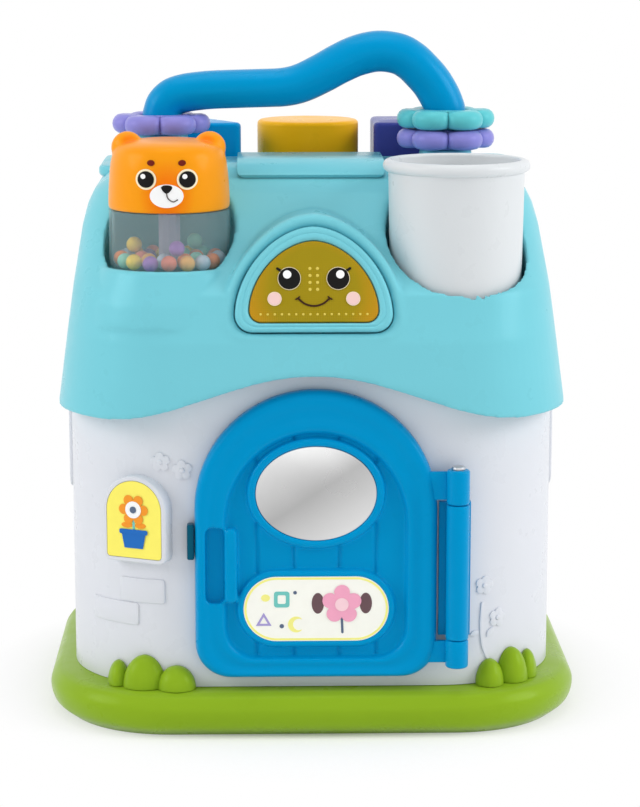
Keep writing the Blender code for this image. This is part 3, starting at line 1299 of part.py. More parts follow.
def make_battery_box():
    rim = WALL_HALF_DEPTH - WALL_THICKNESS - CLEARANCE
    place = Matrix.Rotation(FULL_TURN / 2, 4, "Z") @ facing_front(rim)
    place = place @ Matrix.Translation((0, BATTERY_HEIGHT, 0))
    size = Vector((BOX_HALF_WIDTH, BOX_HALF_HEIGHT))
    wall, lip = Vector((BOX_WALL, BOX_WALL)), Vector((BOX_LIP, BOX_LIP))
    case = box("battery_box", (*(-size - wall), -BOX_DEPTH - BOX_WALL), (*(size + wall), 0),
               (WHITE, 0.5), place)
    flange = box("battery_flange", (*(-size - lip), -BOX_WALL), (*(size + lip), 0), matrix=place)
    hollow = box("battery_hollow", (*-size, -BOX_DEPTH), (*size, OVERRUN), matrix=place)
    low = (0, -COVER_SCREW_BELOW)
    boss = rod("cover_boss", low, BOSS_RADIUS, -BOX_DEPTH - BOX_WALL / 2, 0, matrix=place,
               steps=SMALL_ROUND_STEPS)
    bore = rod("cover_boss_bore", low, SCREW_HOLE_RADIUS, -SCREW_LENGTH, OVERRUN, matrix=place,
               steps=SMALL_ROUND_STEPS)
    cut(join(cut(join(case, flange), hollow), boss), bore)
    lap = Vector((COVER_LAP - CLEARANCE, COVER_LAP - CLEARANCE))
    outside = WALL_THICKNESS + CLEARANCE
    cover = box("battery_cover", (*(-size - lap), CLEARANCE), (*(size + lap), outside), (WHITE, 0.4), place)
    sink = outside - SCREW_HEAD_HEIGHT - CLEARANCE
    countersink = rod("cover_sink", low, SCREW_HEAD_RADIUS + SCREW_HOLE_ROOM, sink, outside + OVERRUN,
                      matrix=place, steps=SMALL_ROUND_STEPS)
    through = rod("cover_hole", low, SCREW_HOLE_RADIUS, -OVERRUN, outside + OVERRUN, matrix=place,
                  steps=SMALL_ROUND_STEPS)
    cut(cover, countersink, through)
    turn_in = Matrix.Rotation(FULL_TURN / 2, 4, "X")
    screw_piece("battery_cover_screw", place @ Matrix.Translation((*low, sink + CLEARANCE)) @ turn_in)
    for number in range(BATTERY_COUNT):
        height = BATTERY_SHIFT + BATTERY_PITCH * (number - (BATTERY_COUNT - 1) / 2)
        lie_down = Matrix.Rotation(QUARTER_TURN * (-1) ** number, 4, "Y")
        half = BATTERY_LENGTH / 2
        turned(
            f"battery_{number + 1}",
            ((0, half + BATTERY_NIB), (BATTERY_NIB_RADIUS, half + BATTERY_NIB), (BATTERY_NIB_RADIUS, half),
             (BATTERY_RADIUS, half), (BATTERY_RADIUS, -half), (0, -half)),
            (STEEL, 0.3, 1.0),
            place @ Matrix.Translation((0, height, -BOX_DEPTH / 2)) @ lie_down,
            ROUND_STEPS // 2,
        )


def hang(name, axis_point, *pieces):
    """Hangs pieces that move as one from an empty on their joint's axis."""
    pivot = bpy.data.objects.new(name, None)
    pivot.empty_display_size = KNUCKLE_RADIUS
    pivot.location = axis_point
    PARTS.objects.link(pivot)
    for piece in pieces:
        child = bpy.data.objects[piece]
        child.parent = pivot
        child.matrix_parent_inverse = Matrix.Translation(axis_point).inverted()


def hang_moving_pieces():
    foot = HANDLE_LEVEL
    hang("door_axis", (HINGE_ACROSS, -HINGE_FRONT, BARREL_LOW), "door_leaf", "door_mirror", "door_label")
    hang("face_button_axis", (0, -FACE_FRONT, FACE_FOOT), "face_bezel", "face_lens")
    hang("rattle_axis", (RATTLE_ACROSS, -RATTLE_FRONT, POCKET_FLOOR), "bear_head", "rattle_drum",
         "rattle_post", "rattle_beads")
    hang("cup_axis", (CUP_ACROSS, -CUP_FRONT, SOCKET_FLOOR), "cup")
    hang("triangle_axis", (TRIANGLE_ACROSS, BLOCK_FRONT, BIN_FLOOR), "block_triangle")
    hang("cylinder_axis", (CYLINDER_ACROSS, BLOCK_FRONT + CYLINDER_RADIUS, BIN_FLOOR), "block_cylinder")
    hang("square_axis", (SQUARE_ACROSS, BLOCK_FRONT, BIN_FLOOR), "block_square")
    hang("ring_left_axis", (LEFT_LEG_ACROSS, 0, foot), "ring_left")
    hang("ring_right_axis", (RIGHT_LEG_ACROSS, 0, foot), "ring_right_lower", "ring_right_upper")


def main():
    make_base()
    make_bushes(wall_room())
    make_walls()
    make_roof()
    make_lid_and_blocks()
    make_rattle()
    make_cup()
    make_door()
    make_face_button()
    make_handle()
    make_battery_box()
    hang_moving_pieces()


main()
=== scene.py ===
"""Looks of a baby's activity house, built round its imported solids.

Each operator makes one piece or a group of like pieces: the moulded shells are drawn again with
finer curves and soft edges, the prints and reliefs are added, and every finish is a node material.
"""

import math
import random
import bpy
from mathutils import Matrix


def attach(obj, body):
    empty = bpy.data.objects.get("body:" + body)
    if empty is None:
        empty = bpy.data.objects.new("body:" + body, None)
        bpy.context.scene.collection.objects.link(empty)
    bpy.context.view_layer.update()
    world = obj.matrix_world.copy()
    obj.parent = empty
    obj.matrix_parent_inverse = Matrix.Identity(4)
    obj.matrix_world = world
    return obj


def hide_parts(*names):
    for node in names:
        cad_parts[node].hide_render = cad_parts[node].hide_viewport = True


bl_info = {
    "name": "Activity House Toy",
    "version": (1, 0, 0),
    "blender": (4, 5, 0),
    "location": "View3D > Sidebar > Toy House",
    "description": "Builds the moulded pieces, prints and finishes of an activity house toy",
    "category": "Object",
}

import bmesh
import bpy
from bpy.props import FloatProperty, FloatVectorProperty, IntProperty, PointerProperty
from mathutils import Matrix, Vector
from mathutils.bvhtree import BVHTree

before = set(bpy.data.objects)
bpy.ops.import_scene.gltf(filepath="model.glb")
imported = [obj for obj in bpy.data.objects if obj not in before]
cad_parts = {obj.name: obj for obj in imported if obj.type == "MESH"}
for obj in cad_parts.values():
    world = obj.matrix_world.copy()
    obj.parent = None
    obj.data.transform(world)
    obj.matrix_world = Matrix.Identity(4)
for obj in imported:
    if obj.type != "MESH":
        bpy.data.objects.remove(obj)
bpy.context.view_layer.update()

QUARTER = math.radians(90)
TURN = math.radians(360)
SHARP, BEVELLED = math.radians(35), math.radians(50)
GAP = 0.0003
BEYOND = 0.004
WELD = 0.00001

# Sizes shared with the solids, in metres
BASE_HALF = (0.133, 0.112)
BASE_RADIUS = 0.063
BASE_HEIGHT = 0.022
BASE_FLOOR = 0.004
BASE_SKIRT = 0.005
BASE_FOOT_INSET = 0.0090
WALL_HALF = (0.121, 0.096)
WALL_RADIUS = 0.060
WALL_THICKNESS = 0.003
WALL_SHOULDER = 0.160
WALL_TOP = 0.184
WALL_TOP_INSET = 0.0025
WALL_FOOT = BASE_HEIGHT + GAP
DOOR_CENTRE = 0.001
DOOR_HALF = 0.059
DOOR_BOTTOM = 0.0285
DOOR_SPRING = 0.1126
DOOR_FOOT_RADIUS = 0.017
DOOR_THICKNESS = 0.0077
DOOR_PANEL = 0.0039
DOORWAY_HALF = 0.048
DOORWAY_SILL = 0.0345
DOORWAY_CORNER = 0.002
HINGE_AXIS = (0.0697, -0.105)
KNUCKLE_RADIUS = 0.0056
PLAQUE_TURN = 0.41883
PLAQUE_HALF = 0.017
PLAQUE_LOW, PLAQUE_HIGH = 0.0854, 0.1284
PLAQUE_PROUD = 0.0055
WINDOW_MARGIN = 0.0021
ROOF_RINGS = (
    (0.157, 0.1265, 0.111, 0.111, 0.062),
    (0.175, 0.1240, 0.109, 0.1085, 0.060),
    (0.195, 0.1213, 0.106, 0.106, 0.057),
    (0.217, 0.1182, 0.098, 0.103, 0.050),
    (0.244, 0.1146, 0.065, 0.100, 0.038),
    (0.254, 0.1122, 0.053, 0.0985, 0.034),
    (0.261, 0.1088, 0.044, 0.097, 0.030),
    (0.267, 0.1020, 0.034, 0.095, 0.026),
    (0.2715, 0.0945, 0.0235, 0.090, 0.022),
    (0.2735, 0.0885, 0.016, 0.086, 0.018),
)
ROOF_THICKNESS = 0.003
CREST = 0.2735
CREST_BACK = 0.019
DECK = 0.262
BIN = (0.093, 0.0235, 0.087, 0.018, 0.246)
RATTLE = (-0.070, -0.061, 0.0296)
POCKET_RADIUS = 0.0318
POCKET_FLOOR = 0.2245
POCKET_LIP = (0.2284, 0.0346, 0.007)
LIP_STEPS = ((0, 0), (0.0035, 0.008), (0.0070, 0.016), (0.0092, 0.027))
DRUM_RIM = 0.255
HEAD_TOP = 0.2893
CUP = (0.0705, -0.063, 0.0333)
SOCKET_RADIUS = 0.0345
SOCKET_FLOOR = 0.196
CUP_TOP = 0.2792
FACE_TILT = math.radians(20)
FACE_FRONT, FACE_FOOT = 0.1035, 0.1975
BEZEL_HALF, BEZEL_HEIGHT, BEZEL_CORNER = 0.0395, 0.055, 0.010
BEZEL_PROUD = 0.004
HANDLE_RADIUS = 0.00975
LEG_LEFT, LEG_RIGHT = -0.0757, 0.0695
HANDLE_LEVEL, HANDLE_RISE = 0.279, 0.0493
HANDLE_SHARES = (
    (0, 0.3), (0.004, 0.375), (0.014, 0.456), (0.041, 0.532), (0.08, 0.571),
    (0.13, 0.594), (0.2039, 0.6105), (0.3609, 0.6227), (0.4394, 0.637), (0.4979, 0.6815),
    (0.5647, 0.775), (0.6274, 0.876), (0.6901, 0.957), (0.761, 1), (0.8313, 0.9736),
    (0.8788, 0.8966), (0.9139, 0.799), (0.9449, 0.698), (0.9711, 0.58), (0.9905, 0.46),
    (1, 0.34),
)
RING_SIZE = (0.0222, 0.0028, 0.0117, 0.0098)
LID_TOP = 0.2683
LID_HALF, LID_BACK, LID_RADIUS = 0.1098, 0.094, 0.012
TONGUE_HALF, TONGUE_THICKNESS, TONGUE_LEAN = 0.037, 0.0015, 0.6

# Base, bushes and walls: profiles as (height, draw-in) shares, lumps as (across, radius, rise)
BASE_PROFILE = ((0, 0.41), (0.27, 0.09), (0.64, 0), (0.91, 0.14), (1, 0.32))
BUSH_STAND_OFF, BUSH_DEPTH = 0.0015, 0.0085
BUSH_LEFT = ((-0.0833, 0.0108, 0.0157), (-0.0965, 0.0055, 0.0112), (-0.0675, 0.0095, 0.0112))
BUSH_RIGHT = ((0.0983, 0.0085, 0.0162), (0.0870, 0.0072, 0.0122), (0.1072, 0.0050, 0.0127))
PLAQUE_CORNER, PLAQUE_ROOT, PLAQUE_EDGE = 0.004, 0.93, 0.0008
WINDOW_DEPTH, WINDOW_THICKNESS = 0.0008, 0.0005
SIDE_PANEL = (0.034, 0.109, 0.156, 0.008, 0.002)
BOSS_ACROSS, BOSS_ALONG, BOSS_RADIUS, BOSS_HEIGHT, BOSS_HOLE = 0.114, 0.026, 0.005, 0.018, 0.014
SCREW_HOLE = 0.0019
FRONT_TAB, REAR_TAB, TAB = (0.104, -0.015), (0.060, 0.084), (0.006, 0.0035)
BATTERY_OPENING, BATTERY_HEIGHT = (0.0287, 0.0317), 0.100

# Low reliefs on the walls, placed along the wall and in height. A kind of flower is its wave, turn
# and middle.
RELIEF, RELIEF_EYE, RELIEF_EDGE = 0.0007, 1.8, 0.45
PETAL_POWER, PETAL_STEPS = 0.6, 72
SLICE, FINE_SLICE = 0.0015, 0.0012
SMALL_KIND, TALL_KIND = (0.22, 0.4, 1 / 3), (0.2, 0.1, 0.34)
SMALL_FLOWERS = ((-0.0747, 0.1352, 0.0040), (-0.0639, 0.1315, 0.0040))
BRICKS = ((-0.0970, -0.0729, 0.0642, 0.0763), (-0.1163, -0.0867, 0.0524, 0.0636))
BRICK_RADIUS = 0.0015
TALL_FLOWERS = ((0.0845, 0.0719, 0.0040), (0.0922, 0.0547, 0.0040))
STEM = ((0.0835, 0.0629), (0.0828, 0.0520), (0.0840, 0.0410), (0.0879, 0.0322))
STEM_HALF = 0.0006
LEAVES = ((0.0794, 0.0480, 0.0024, 0.0013, 0.3), (0.0880, 0.0478, 0.0030, 0.0015, 0.9))

# Roof: fit on the walls, the face's hump as (depth, spread, drop, rise), chamber, bosses and hem
ROOF_FIT = 0.0007
HUMP_RINGS = ((-0.0004, 0.0, 0.0, 0.0), (-0.0020, 0.0012, 0.0010, 0.0012),
              (-0.0025, 0.0028, 0.0020, 0.0028), (-0.0018, 0.0046, 0.0030, 0.0046),
              (0.0008, 0.0060, 0.0038, 0.0062), (0.0060, 0.0068, 0.0044, 0.0074),
              (0.0140, 0.0086, 0.0060, 0.0096), (0.0300, 0.0180, 0.0120, 0.0160))
HUMP_ROOM, HUMP_WALL = 0.0012, 0.004
CHAMBER = (0.0028, 0.016, 0.0025)
ROOF_BOSSES = ((-0.104, -0.015), (0.104, -0.015), (-0.060, 0.084), (0.060, 0.084))
HEM_HALF, HEM_RISE, HEM_STEPS = 0.105, 0.022, 64
CUP_RIM, CUP_LIP, SOCKET_ROOM = 0.036, 0.0062, 0.0012
CUP_DRAFT, CUP_WALL, CUP_SOFT = 0.0012, 0.0022, 0.0033
BUTTON_ROOM = 0.0004
BOARD_ROOM, BOARD_LAP, BOARD_HALF, BOARD_CORNER = 0.024, 0.0017, 0.030, 0.006

# Blocks and their holes
TRIANGLE, SQUARE, ROUND_BLOCK = (-0.0585, 0.052), (0.058, 0.048), 0.0268
BLOCK_FRONT, BLOCK_CORNER, BLOCK_HEIGHT = 0.0275, 0.004, 0.0437
BLOCK_EDGE, BLOCK_WALL = 0.0022, 0.0022
BLOCKS = (("triangle", "deep_blue_plastic"), ("cylinder", "yellow_plastic"),
          ("square", "violet_plastic"))
HOLE_ROOM, LID_EDGE, LID_ROUND, TONGUE_CORNER = 0.0008, 0.0006, 0.0022, 0.004

# Rattle: the head's profile as (share of its height, share of its radius), and the bear's face
DRUM_WALL, DRUM_FOOT = 0.0014, 0.005
HEAD_PROFILE = ((1, 0), (0.99, 0.44), (0.95, 0.72), (0.86, 0.88), (0.64, 0.96), (0.28, 0.995),
                (0.05, 1), (0, 0.975))
HEAD_WALL = 0.0024
EAR = (0.0200, 0.2848, 0.0080, 0.0062)
BEAD_RADIUS, BEAD_SEED, BEAD_TURN = 0.0039, 4, 0.4
BEAD_STRAY = (0.05, 0.0012, 0.0006)
BEAD_LAYERS = ((16, 0.0238, 0.0040), (9, 0.0145, 0.0040), (3, 0.0190, 0.0106))
BEAR_SHIFT = -0.0001
# The ears' spot and fade give painted shade: deeper orange at the front of each ear
EAR_SHADE_SPOT, EAR_SHADE_FADE, MUZZLE_FADE = 0.93, (0.0022, 0.0050), (0.006, 0.014)
MUZZLE = (0.2640, 0.0080, 0.0056)
NOSE = (0.2672, 0.0027, 0.0020)
NOSE_SHARES = ((-1, 0.45), (-0.5, 0.95), (0.5, 0.95), (1, 0.45), (0.6, -0.5), (0, -1), (-0.6, -0.5))
BEAR_MOUTH = ((0, 0.2653), (0.0004, 0.2634), (0.0016, 0.2620), (0.0033, 0.2613), (0.0051, 0.2622))
MOUTH_HALF = 0.00028
BEAR_EYE = (0.0098, 0.2718, 0.0049, 0.0039)
BROW = (0.0074, 0.2796, 0.0018, 0.0014)

# Face button, in its own frame: X across, Y up the tilted face. The outlines are (half width, foot,
# crown, corner), and their shoulders are drawn in a little by a power.
BEZEL_OUTLINE = (0.0378, 0.0024, 0.0540, 0.0085)
LENS_OUTLINE = (0.0309, 0.0069, 0.0466, 0.0058)
SHOULDER_POWER = 1.11
LENS_FLOOR, LENS_SEAT, LENS_SET_BACK, LENS_THICKNESS = 0.0008, 0.0016, 0.0006, 0.0026
FLANGE_THICKNESS, FLANGE_REACH = 0.0015, 0.002
BEZEL_SECTION = [(0.0, 0.0020), (0.0004, 0.0031), (0.0012, 0.0038), (0.0022, 0.0040),
                 (0.0031, 0.0038), (0.0036, 0.0035), (0.0041, 0.0037), (0.0050, 0.0040),
                 (0.0060, 0.0038), (0.0068, 0.0031), (0.0072, 0.0020), (0.0072, 0.0005)]
EYE, EYE_EDGE, CHEEK = (0.0117, 0.0281, 0.0053), 0.0003, (0.0188, 0.0182, 0.0031)
SMILE = ((-0.0075, 0.0183), (-0.0042, 0.0157), (0.0, 0.0147), (0.0042, 0.0157), (0.0075, 0.0183))
SMILE_HALF, SMILE_TICK = 0.00045, ((0.0069, 0.0191), (0.0077, 0.0184), (0.0086, 0.0179))
LASH = ((0.0036, 0.0036), (0.0045, 0.0041), (0.0057, 0.0049))
LASH_HALF, LAYER, INK_THICKNESS = 0.0006, 0.00023, 0.0002
EYE_SHINE, BEAR_SHINE = (0.19, 0.36, 0.38), (-0.32, 0.36, 0.3)
DOT_ROWS, DOT_ACROSS, DOT_LOW, DOT_PITCH, DOT_RADIUS = 4, 0.0018, 0.0228, 0.0034, 0.0008
FOOT_DOTS, FOOT_DOT_SPAN, FOOT_DOT_UP, FOOT_DOT_RADIUS = 16, 0.0255, 0.0107, 0.0006
FAR = 0.08

# Door: its frame's section as (share of the way in, height), mirror, label, pull, hinge and catch
DOOR_SECTION = ((0.0, 0.0), (0.0, 0.0040), (0.03, 0.0058), (0.10, 0.0074), (0.20, 0.0080),
                (0.32, 0.0078), (0.46, 0.0070), (0.60, 0.0069), (0.72, 0.0074), (0.82, 0.0076),
                (0.90, 0.0070), (0.96, 0.0056), (1.0, 0.0036), (1.02, 0.0))
PANEL_OUTLINE = (0.0434, 0.0390, 0.1056, 0.1500, 0.0155)
GROOVE_WIDTH, GROOVE_DEPTH, GROOVE_SHARES = 0.0020, 0.0014, (-0.66, -0.25, 0.26, 0.67)
MIRROR, MIRROR_RIM, MIRROR_THICKNESS = (0.0294, 0.0233, 0.1210), 0.0040, 0.0010
LABEL, LABEL_RIM, LABEL_THICKNESS = (0.0354, 0.01615, 0.0635), 0.0031, 0.0006
RIM_FALL = 0.7
PULL_LOW, PULL_HIGH, PULL_WIDTH, PULL_PROUD = 0.0664, 0.1041, 0.0062, 0.0008
SCOOP_WIDTH, SCOOP_FLOOR, PULL_ACROSS = 0.0092, 0.0024, -0.0436
KNUCKLES, BARREL = ((0.0344, 0.0484), (0.1160, 0.1330)), (0.0487, 0.1157)
ARM_LAP, ARM_INSET, ARM_SHARES = 0.006, 0.0015, (0.9, 0.5)
HINGE_FOOT, HINGE_WEB = (0.0088, 0.0068, 0.0024), 0.0032
PIN_RADIUS, PIN_HEAD = 0.0016, (0.0034, 0.0018)
CATCH = (0.0034, 0.0062, 0.0880, 0.1056)

# Door label's print, measured from the label's middle
EDGE_LINE = (-0.0004, -0.0014)
BLOOM, BLOOM_RADIUS, BLOOM_EYE = (0.0125, 0.0022), 0.0098, 0.0033
BLOOM_LEAF, BLOOM_STEM = (0.0117, 0.0028, 0.0030, 0.0052), ((0.0125, -0.0038), (0.0128, -0.0118))
MOON_OUTSIDE = ((-0.0098, -0.0078), (0.0040, 0.0040), math.radians(50), math.radians(310), 24)
MOON_INSIDE = ((-0.0084, -0.0078), (0.0029, 0.0029), math.radians(300), math.radians(60), 20)
LABEL_TRIANGLE = ((-0.0256, -0.0062), (0.0044, 0.0023))
LABEL_SQUARE = ((-0.0206, -0.0130, 0.0008, 0.0088, 0.0014),
                (-0.0188, -0.0148, 0.0026, 0.0070, 0.0008))
LABEL_SPOTS = (((-0.0247, 0.0056), (0.0022, 0.0018), 32, "lemon"),
               ((-0.0103, 0.0082), (0.0009, 0.0009), 24, "slate"),
               ((-0.0168, -0.0086), (0.0011, 0.0011), 24, "slate"))

# Window's print, measured from the plaque's middle
POT = ((-0.0066, -0.0062), (0.0066, -0.0062), (0.0050, -0.0142), (-0.0050, -0.0142))
POT_RIM = (-0.0076, 0.0076, -0.0072, -0.0048, 0.0008)
SPRIG, SPRIG_LEAF = ((0, 0), (0, -0.0060)), ((0.0036, -0.0028), (0.0030, 0.0014))
POT_BLOOM, POT_BLOOM_SIZES = (0.0, 0.0050), (0.0078, 0.0042, 0.0017)
STALK_HALF = 0.0006

# Handle and rings
COLLAR, COLLAR_SOFT = (0.0135, 0.01005, 0.0075), 0.0015
RINGS = (("ring_left", LEG_LEFT, 0.2871, 0.0009, "lilac"),
         ("ring_right_lower", LEG_RIGHT, 0.2793, 0.0012, "lilac"),
         ("ring_right_upper", LEG_RIGHT, 0.2894, 0.0009, "teal"))
RING_EDGE, RING_POWER, RING_FLATS, PUFF, RING_STEPS = 0.002, 0.55, (0.35, 0.62), 0.9, 240
HANDLE_SWELL, SWELL_FROM, SWELL_OVER = 0.065, 0.40, 0.30
LEG_BORE = 0.0140

# Colours that no setting changes, as the screen shows them
WINDOW_PAPER, LABEL_PAPER, DOT_GOLD = (0.99, 0.94, 0.42), (0.99, 0.985, 0.95), (0.86, 0.78, 0.34)
POST_GREY, LAMP_WHITE, PART_BLACK = (0.66, 0.62, 0.70), (0.93, 0.93, 0.90), (0.06, 0.06, 0.06)

# Looks: noise scales, gloss and refraction of the plastics, the face's mesh, the mirror's painted
# reflection
POLISH_CLOUD, FINE_GRAIN, PLASTIC_IOR, PLASTIC_SPECULAR = 70.0, 1500.0, 1.49, 0.30
LENS_MESH, LENS_MIDDLE, LENS_FADE = 950.0, 0.022, (0.021, 0.034)
# The mirror's painted reflection: a darker grey band across the silver, standing in for what it
# reflects
PAINTED_REFLECTION_ACROSS, PAINTED_REFLECTION_SPAN, PAINTED_REFLECTION_GREYS = (0.55, 0, -0.83), (-0.124, -0.076), (0.70, 0.87)
BATTERY_BAND, STEEL, STEEL_ROUGHNESS = (0.011, 0.0115), (0.55, 0.56, 0.58), (0.20, 0.42)

# Stage: lamps as (name, size, place), the camera's place, lens and turn, and where the floor fades
LAMPS = (("key", 0.9, (-1.45, -0.45, 0.9)), ("fill", 0.9, (1.45, -0.45, 0.9)),
         ("front", 0.7, (0.1, -1.6, 0.5)), ("top", 1.0, (0, -0.2, 1.7)))
CAMERA_PLACE = (-0.025, -1.303, 0.390)
CAMERA_LENS, CAMERA_SENSOR = 113.4, 36
CAMERA_PITCH, CAMERA_YAW = math.radians(10.6), math.radians(1.33)
STAGE_RADIUS, FLOOR_FADE = 6.0, (0.09, 0.18)
AIM = (0, 0, 0.15)


def on_screen(red, green, blue):
    """A colour as the screen shows it, given to a shader as light."""
    return tuple(part / 12.92 if part <= 0.04045 else ((part + 0.055) / 1.055) ** 2.4
                 for part in (red, green, blue))


def colour(name, what, red, green, blue):
    return FloatVectorProperty(name=name, description=what, subtype="COLOR", size=3, min=0, max=1,
                               default=on_screen(red, green, blue))


def length(name, what, default):
    return FloatProperty(name=name, description=what, default=default, min=0, unit="LENGTH",
                         precision=5)


class HousePlastics(bpy.types.PropertyGroup):
    roof: colour("Roof", "Aqua of the roof, the lid and the face's rim", 0.46, 0.78, 0.83)
    blue: colour("Door", "Blue of the door, its hinge and the handle", 0.0, 0.57, 0.79)
    green: colour("Base", "Green of the base and the bushes", 0.54, 0.675, 0.14)
    walls: colour("Walls", "Cool white of the walls", 0.85, 0.86, 0.885)
    cup: colour("Cup", "White of the cup", 0.845, 0.86, 0.87)
    bear: colour("Bear", "Orange of the bear's head", 0.95, 0.60, 0.09)
    # This deeper orange is the muzzle's own colour and also the painted shade in the ears
    blaze_and_ear_shade: colour("Bear's blaze", "Deeper orange round the bear's muzzle", 0.95, 0.48, 0.06)
    triangle: colour("Triangle block", "Blue of the triangle", 0.0, 0.61, 0.86)
    cylinder: colour("Round block", "Yellow of the cylinder", 1.0, 0.73, 0.10)
    square: colour("Square block", "Violet of the square block", 0.26, 0.29, 0.60)
    lilac: colour("Lilac rings", "Lilac of two rings", 0.55, 0.54, 0.83)
    teal: colour("Teal ring", "Teal of the upper ring", 0.38, 0.77, 0.80)
    catch: colour("Catch", "Dark teal of the catch and the groove", 0.05, 0.33, 0.42)
    lens: colour("Face", "Gold of the face's lens", 0.62, 0.54, 0.10)
    lens_edge: colour("Face's edge", "Amber at the lens's edge", 0.78, 0.56, 0.12)
    roughness: FloatProperty(name="Roughness", description="Roughness of the moulded plastic",
                             default=0.30, min=0, max=1, subtype="FACTOR")
    grain: length("Grain", "Depth of the mould's grain", 0.00003)


class HouseEdges(bpy.types.PropertyGroup):
    voxel: length("Voxel", "Cell of the soft shells' mesh", 0.0011)
    fine_voxel: length("Fine voxel", "Cell of the door's and the head's mesh", 0.00075)
    soften: IntProperty(name="Soften", description="Smoothing passes on the roof", default=9, min=0)
    fine_soften: IntProperty(name="Fine soften", description="Smoothing passes on the door",
                             default=5, min=0)
    edge: length("Edge", "Round on the edges of plates and blocks", 0.0012)
    arc_steps: IntProperty(name="Arc steps", description="Points in a quarter turn", default=20,
                           min=4)


class HouseStage(bpy.types.PropertyGroup):
    key: FloatProperty(name="Key", description="Power of the lamp at the left", default=10.0,
                       min=0, unit="POWER")
    fill: FloatProperty(name="Fill", description="Power of the lamp at the right", default=12.0,
                        min=0, unit="POWER")
    front: FloatProperty(name="Front", description="Power of the lamp by the camera", default=0.8,
                         min=0, unit="POWER")
    top: FloatProperty(name="Top", description="Power of the lamp overhead", default=4.7, min=0,
                       unit="POWER")
    sky: FloatProperty(name="Sky", description="Strength of the light from all round", default=0.58,
                       min=0)
    floor: colour("Floor", "Pale floor", 0.97, 0.97, 0.97)


GROUPS = (("house_plastics", HousePlastics), ("house_edges", HouseEdges),
          ("house_stage", HouseStage))


def plastics():
    return bpy.context.scene.house_plastics


def edges():
    return bpy.context.scene.house_edges


def stage_settings():
    return bpy.context.scene.house_stage


# Finishes


class Nodes:
    """Short ways to add nodes to a tree and join them."""

    def __init__(self, tree):
        self.tree = tree

    def add(self, kind, settings=None, **sockets):
        node = self.tree.nodes.new(kind)
        for setting, value in (settings or {}).items():
            setattr(node, setting, value)
        for socket, value in sockets.items():
            self.feed(node.inputs[socket.replace("_", " ")], value)
        return node

    def feed(self, socket, value):
        if isinstance(value, bpy.types.NodeSocket):
            self.tree.links.new(value, socket)
        elif isinstance(value, (tuple, list)) and len(value) == 3 and socket.type == "RGBA":
            socket.default_value = (*value, 1)
        else:
            socket.default_value = value

    def place(self):
        return self.add("ShaderNodeTexCoord").outputs["Object"]

    def noise(self, scale, detail=2.0):
        node = self.add("ShaderNodeTexNoise", Vector=self.place(), Scale=scale, Detail=detail)
        return node.outputs["Fac"]

    def between(self, share, low, high, start=0.0, end=1.0):
        """Carries a share that runs from start to end over to the range from low to high."""
        node = self.add("ShaderNodeMapRange", Value=share)
        ends = {"From Min": start, "From Max": end, "To Min": low, "To Max": high}
        for socket, value in ends.items():
            node.inputs[socket].default_value = value
        return node.outputs["Result"]

    def blend(self, share, first, second):
        """Mixes two colours, in the sockets that a mix node keeps for them."""
        node = self.add("ShaderNodeMix", {"data_type": "RGBA"})
        self.feed(node.inputs["Factor"], share)
        self.feed(node.inputs[6], first)
        self.feed(node.inputs[7], second)
        return node.outputs[2]

    def combine(self, operation, first, second=0.0):
        node = self.add("ShaderNodeMath", {"operation": operation})
        self.feed(node.inputs[0], first)
        self.feed(node.inputs[1], second)
        return node.outputs["Value"]

    def vectors(self, operation, first, second=None):
        """Joins two vectors, or scales or measures one."""
        node = self.add("ShaderNodeVectorMath", {"operation": operation})
        self.feed(node.inputs[0], first)
        if second is not None:
            self.feed(node.inputs["Scale" if operation == "SCALE" else 1], second)
        return node.outputs["Value" if operation in ("LENGTH", "DOT_PRODUCT") else "Vector"]

    def bump(self, height, depth):
        node = self.add("ShaderNodeBump", Height=height, Distance=depth, Strength=1.0)
        return node.outputs["Normal"]

    def distance_from(self, point, stretch=(1, 1, 1)):
        """How far a point of the surface is from this one, with each axis stretched."""
        apart = self.vectors("SUBTRACT", self.place(), point)
        return self.vectors("LENGTH", self.vectors("MULTIPLY", apart, stretch))


class Finish(Nodes):
    """A node material with one Principled shader."""

    def __init__(self, name):
        self.material = bpy.data.materials.new(name)
        self.material.use_nodes = True
        super().__init__(self.material.node_tree)
        self.shader = self.tree.nodes["Principled BSDF"]

    def shade(self, **sockets):
        for socket, value in sockets.items():
            self.feed(self.shader.inputs[socket.replace("_", " ")], value)

    def gloss(self, tint, coat, coat_roughness=0.12):
        """The gloss of moulded plastic, with highlights near the plastic's own colour."""
        self.shade(Specular_IOR_Level=PLASTIC_SPECULAR, Specular_Tint=(*tint, 1), Coat_Weight=coat,
                   Coat_Roughness=coat_roughness, IOR=PLASTIC_IOR)

    def polish(self, low, high, cloud=POLISH_CLOUD, detail=4.0):
        """A roughness that wanders between two values in clouds."""
        return self.between(self.noise(cloud, detail), low, high, 0.3, 0.7)


def tinted(tint, share):
    return tuple(min(part * share, 1.0) for part in tint)


def mottled(finish, tint, shade=0.035, cloud=16.0):
    """The tint a little paler and darker in soft clouds, as in moulded plastic."""
    return finish.blend(finish.noise(cloud, 3.0), tinted(tint, 1 - shade), tinted(tint, 1 + shade))


def moulded(name, tint, roughness=None, shade=0.035):
    """Glossy moulded plastic with a fine grain and an uneven polish."""
    finish = Finish(name)
    rough = plastics().roughness if roughness is None else roughness
    finish.shade(
        Base_Color=mottled(finish, tint, shade),
        Roughness=finish.polish(rough - 0.05, rough + 0.08),
        Normal=finish.bump(finish.noise(FINE_GRAIN), plastics().grain),
    )
    finish.gloss(tint, 0.05)
    return finish.material


def printed_ink(name, tint, roughness=0.35):
    """Flat printed ink, uneven at the scale of a screen print."""
    finish = Finish(name)
    finish.shade(
        Base_Color=mottled(finish, tint, 0.03, 220.0),
        Roughness=finish.between(finish.noise(400.0), roughness - 0.05, roughness + 0.05),
        Normal=finish.bump(finish.noise(2600.0), plastics().grain / 3),
        Specular_IOR_Level=0.15,
    )
    return finish.material


